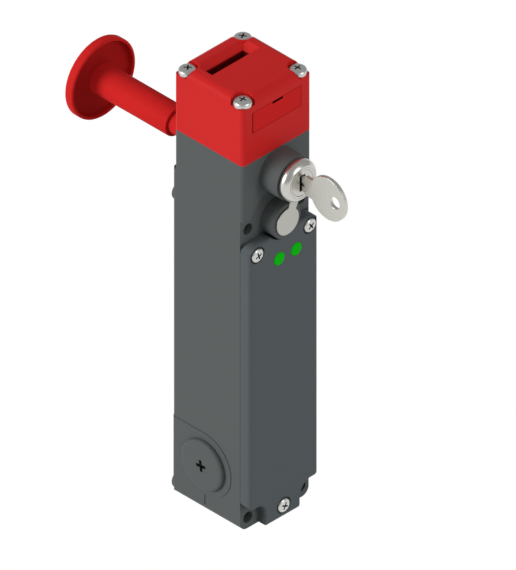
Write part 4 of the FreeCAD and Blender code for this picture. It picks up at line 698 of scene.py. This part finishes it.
# Blanking plugs with a rounded rim and a deep cross.
plug = {
    "shank": 9.55, "crossReach": 3.6, "crossHalf": 1.0, "crossDepth": 1.6, "turn": 8,
    "rim": [
        (9.55, -2.2), (12.0, -2.2), (12.0, -1.5), (11.95, -1.05), (11.75, -0.6), (11.4, -0.25),
        (10.95, -0.06), (10.4, 0),
    ],
}
for name, node, away in (("plugLeft", "plug_left", -1), ("plugRight", "plug_right", 1)):
    low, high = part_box(node)
    piece = turned(name, [(plug["shank"], (low.x - high.x) / mm), *plug["rim"]], darkPlastic)
    # The faces of the cross recess take the painted shade material.
    cut(piece, *crossCutter(plug, 0, paintedPlugRecessShade), material_mode="TRANSFER")
    face = low.x if away < 0 else high.x
    place(piece, (face, (low.y + high.y) / 2, (low.z + high.z) / 2), (away, 0, 0), plug["turn"])
    finishPiece(piece, "housing", "dark_plastic", node)
print("plugs turned")


# Floor: plain white to the camera and in reflections, and pale to the light that falls on it.
floorSize = 12.0
clearSelection()
bpy.ops.mesh.primitive_plane_add(size=floorSize, location=(0, 0, -0.2 * mm))
floor = bpy.context.object
floor.name = "floor"
floorMaterial = bpy.data.materials.new("floorWhite")
floorMaterial.use_nodes = True
tree = floorMaterial.node_tree
tree.nodes.clear()
output = addNode(tree, "ShaderNodeOutputMaterial")
mix = addNode(tree, "ShaderNodeMixShader")
diffuse = addNode(tree, "ShaderNodeBsdfDiffuse", Color=(0.8, 0.8, 0.8, 1))
glow = addNode(tree, "ShaderNodeEmission", Color=(1, 1, 1, 1), Strength=1.0)
rays = addNode(tree, "ShaderNodeLightPath")
seen = addNode(tree, "ShaderNodeMath", operation="MAXIMUM")
tree.links.new(rays.outputs["Is Camera Ray"], seen.inputs[0])
tree.links.new(rays.outputs["Is Glossy Ray"], seen.inputs[1])
tree.links.new(seen.outputs[0], mix.inputs["Fac"])
tree.links.new(diffuse.outputs[0], mix.inputs[1])
tree.links.new(glow.outputs[0], mix.inputs[2])
tree.links.new(mix.outputs[0], output.inputs["Surface"])
floor.data.materials.append(floorMaterial)


# Light: an even white surround, a soft sun from the rear left and a weaker one from the front.
surroundStrength = 0.42
world = bpy.data.worlds.new("studio")
bpy.context.scene.world = world
world.use_nodes = True
world.node_tree.nodes["Background"].inputs["Color"].default_value = (1, 1, 1, 1)
world.node_tree.nodes["Background"].inputs["Strength"].default_value = surroundStrength
lamps = [
    {"name": "keySun", "towards": (-0.88, 0.38, 0.33), "strength": 1.98, "angle": 25},
    {"name": "frontSun", "towards": (0.15, -0.80, 0.38), "strength": 0.82, "angle": 20},
]
for lamp in lamps:
    light = bpy.data.lights.new(lamp["name"], "SUN")
    light.energy = lamp["strength"]
    light.angle = math.radians(lamp["angle"])
    lampObject = bpy.data.objects.new(lamp["name"], light)
    lampObject.rotation_euler = Vector(lamp["towards"]).to_track_quat("Z", "Y").to_euler()
    bpy.context.scene.collection.objects.link(lampObject)


# Camera: without perspective, down a cube's diagonal, as in the photo.
cameraView = {"centre": (4.463 * mm, -4.463 * mm, 105.68 * mm), "distance": 1.0, "width": 0.23515}
towardsCamera = Vector((-1, -1, 1)).normalized()
camera = bpy.data.cameras.new("photoCamera")
camera.type = "ORTHO"
camera.ortho_scale = cameraView["width"]
camera.clip_end = 10
cameraObject = bpy.data.objects.new("photoCamera", camera)
cameraObject.location = Vector(cameraView["centre"]) + towardsCamera * cameraView["distance"]
cameraObject.rotation_euler = (-towardsCamera).to_track_quat("-Z", "Y").to_euler()
bpy.context.scene.collection.objects.link(cameraObject)
bpy.context.scene.camera = cameraObject
bpy.context.scene.view_settings.view_transform = "Standard"
print("light and camera placed")
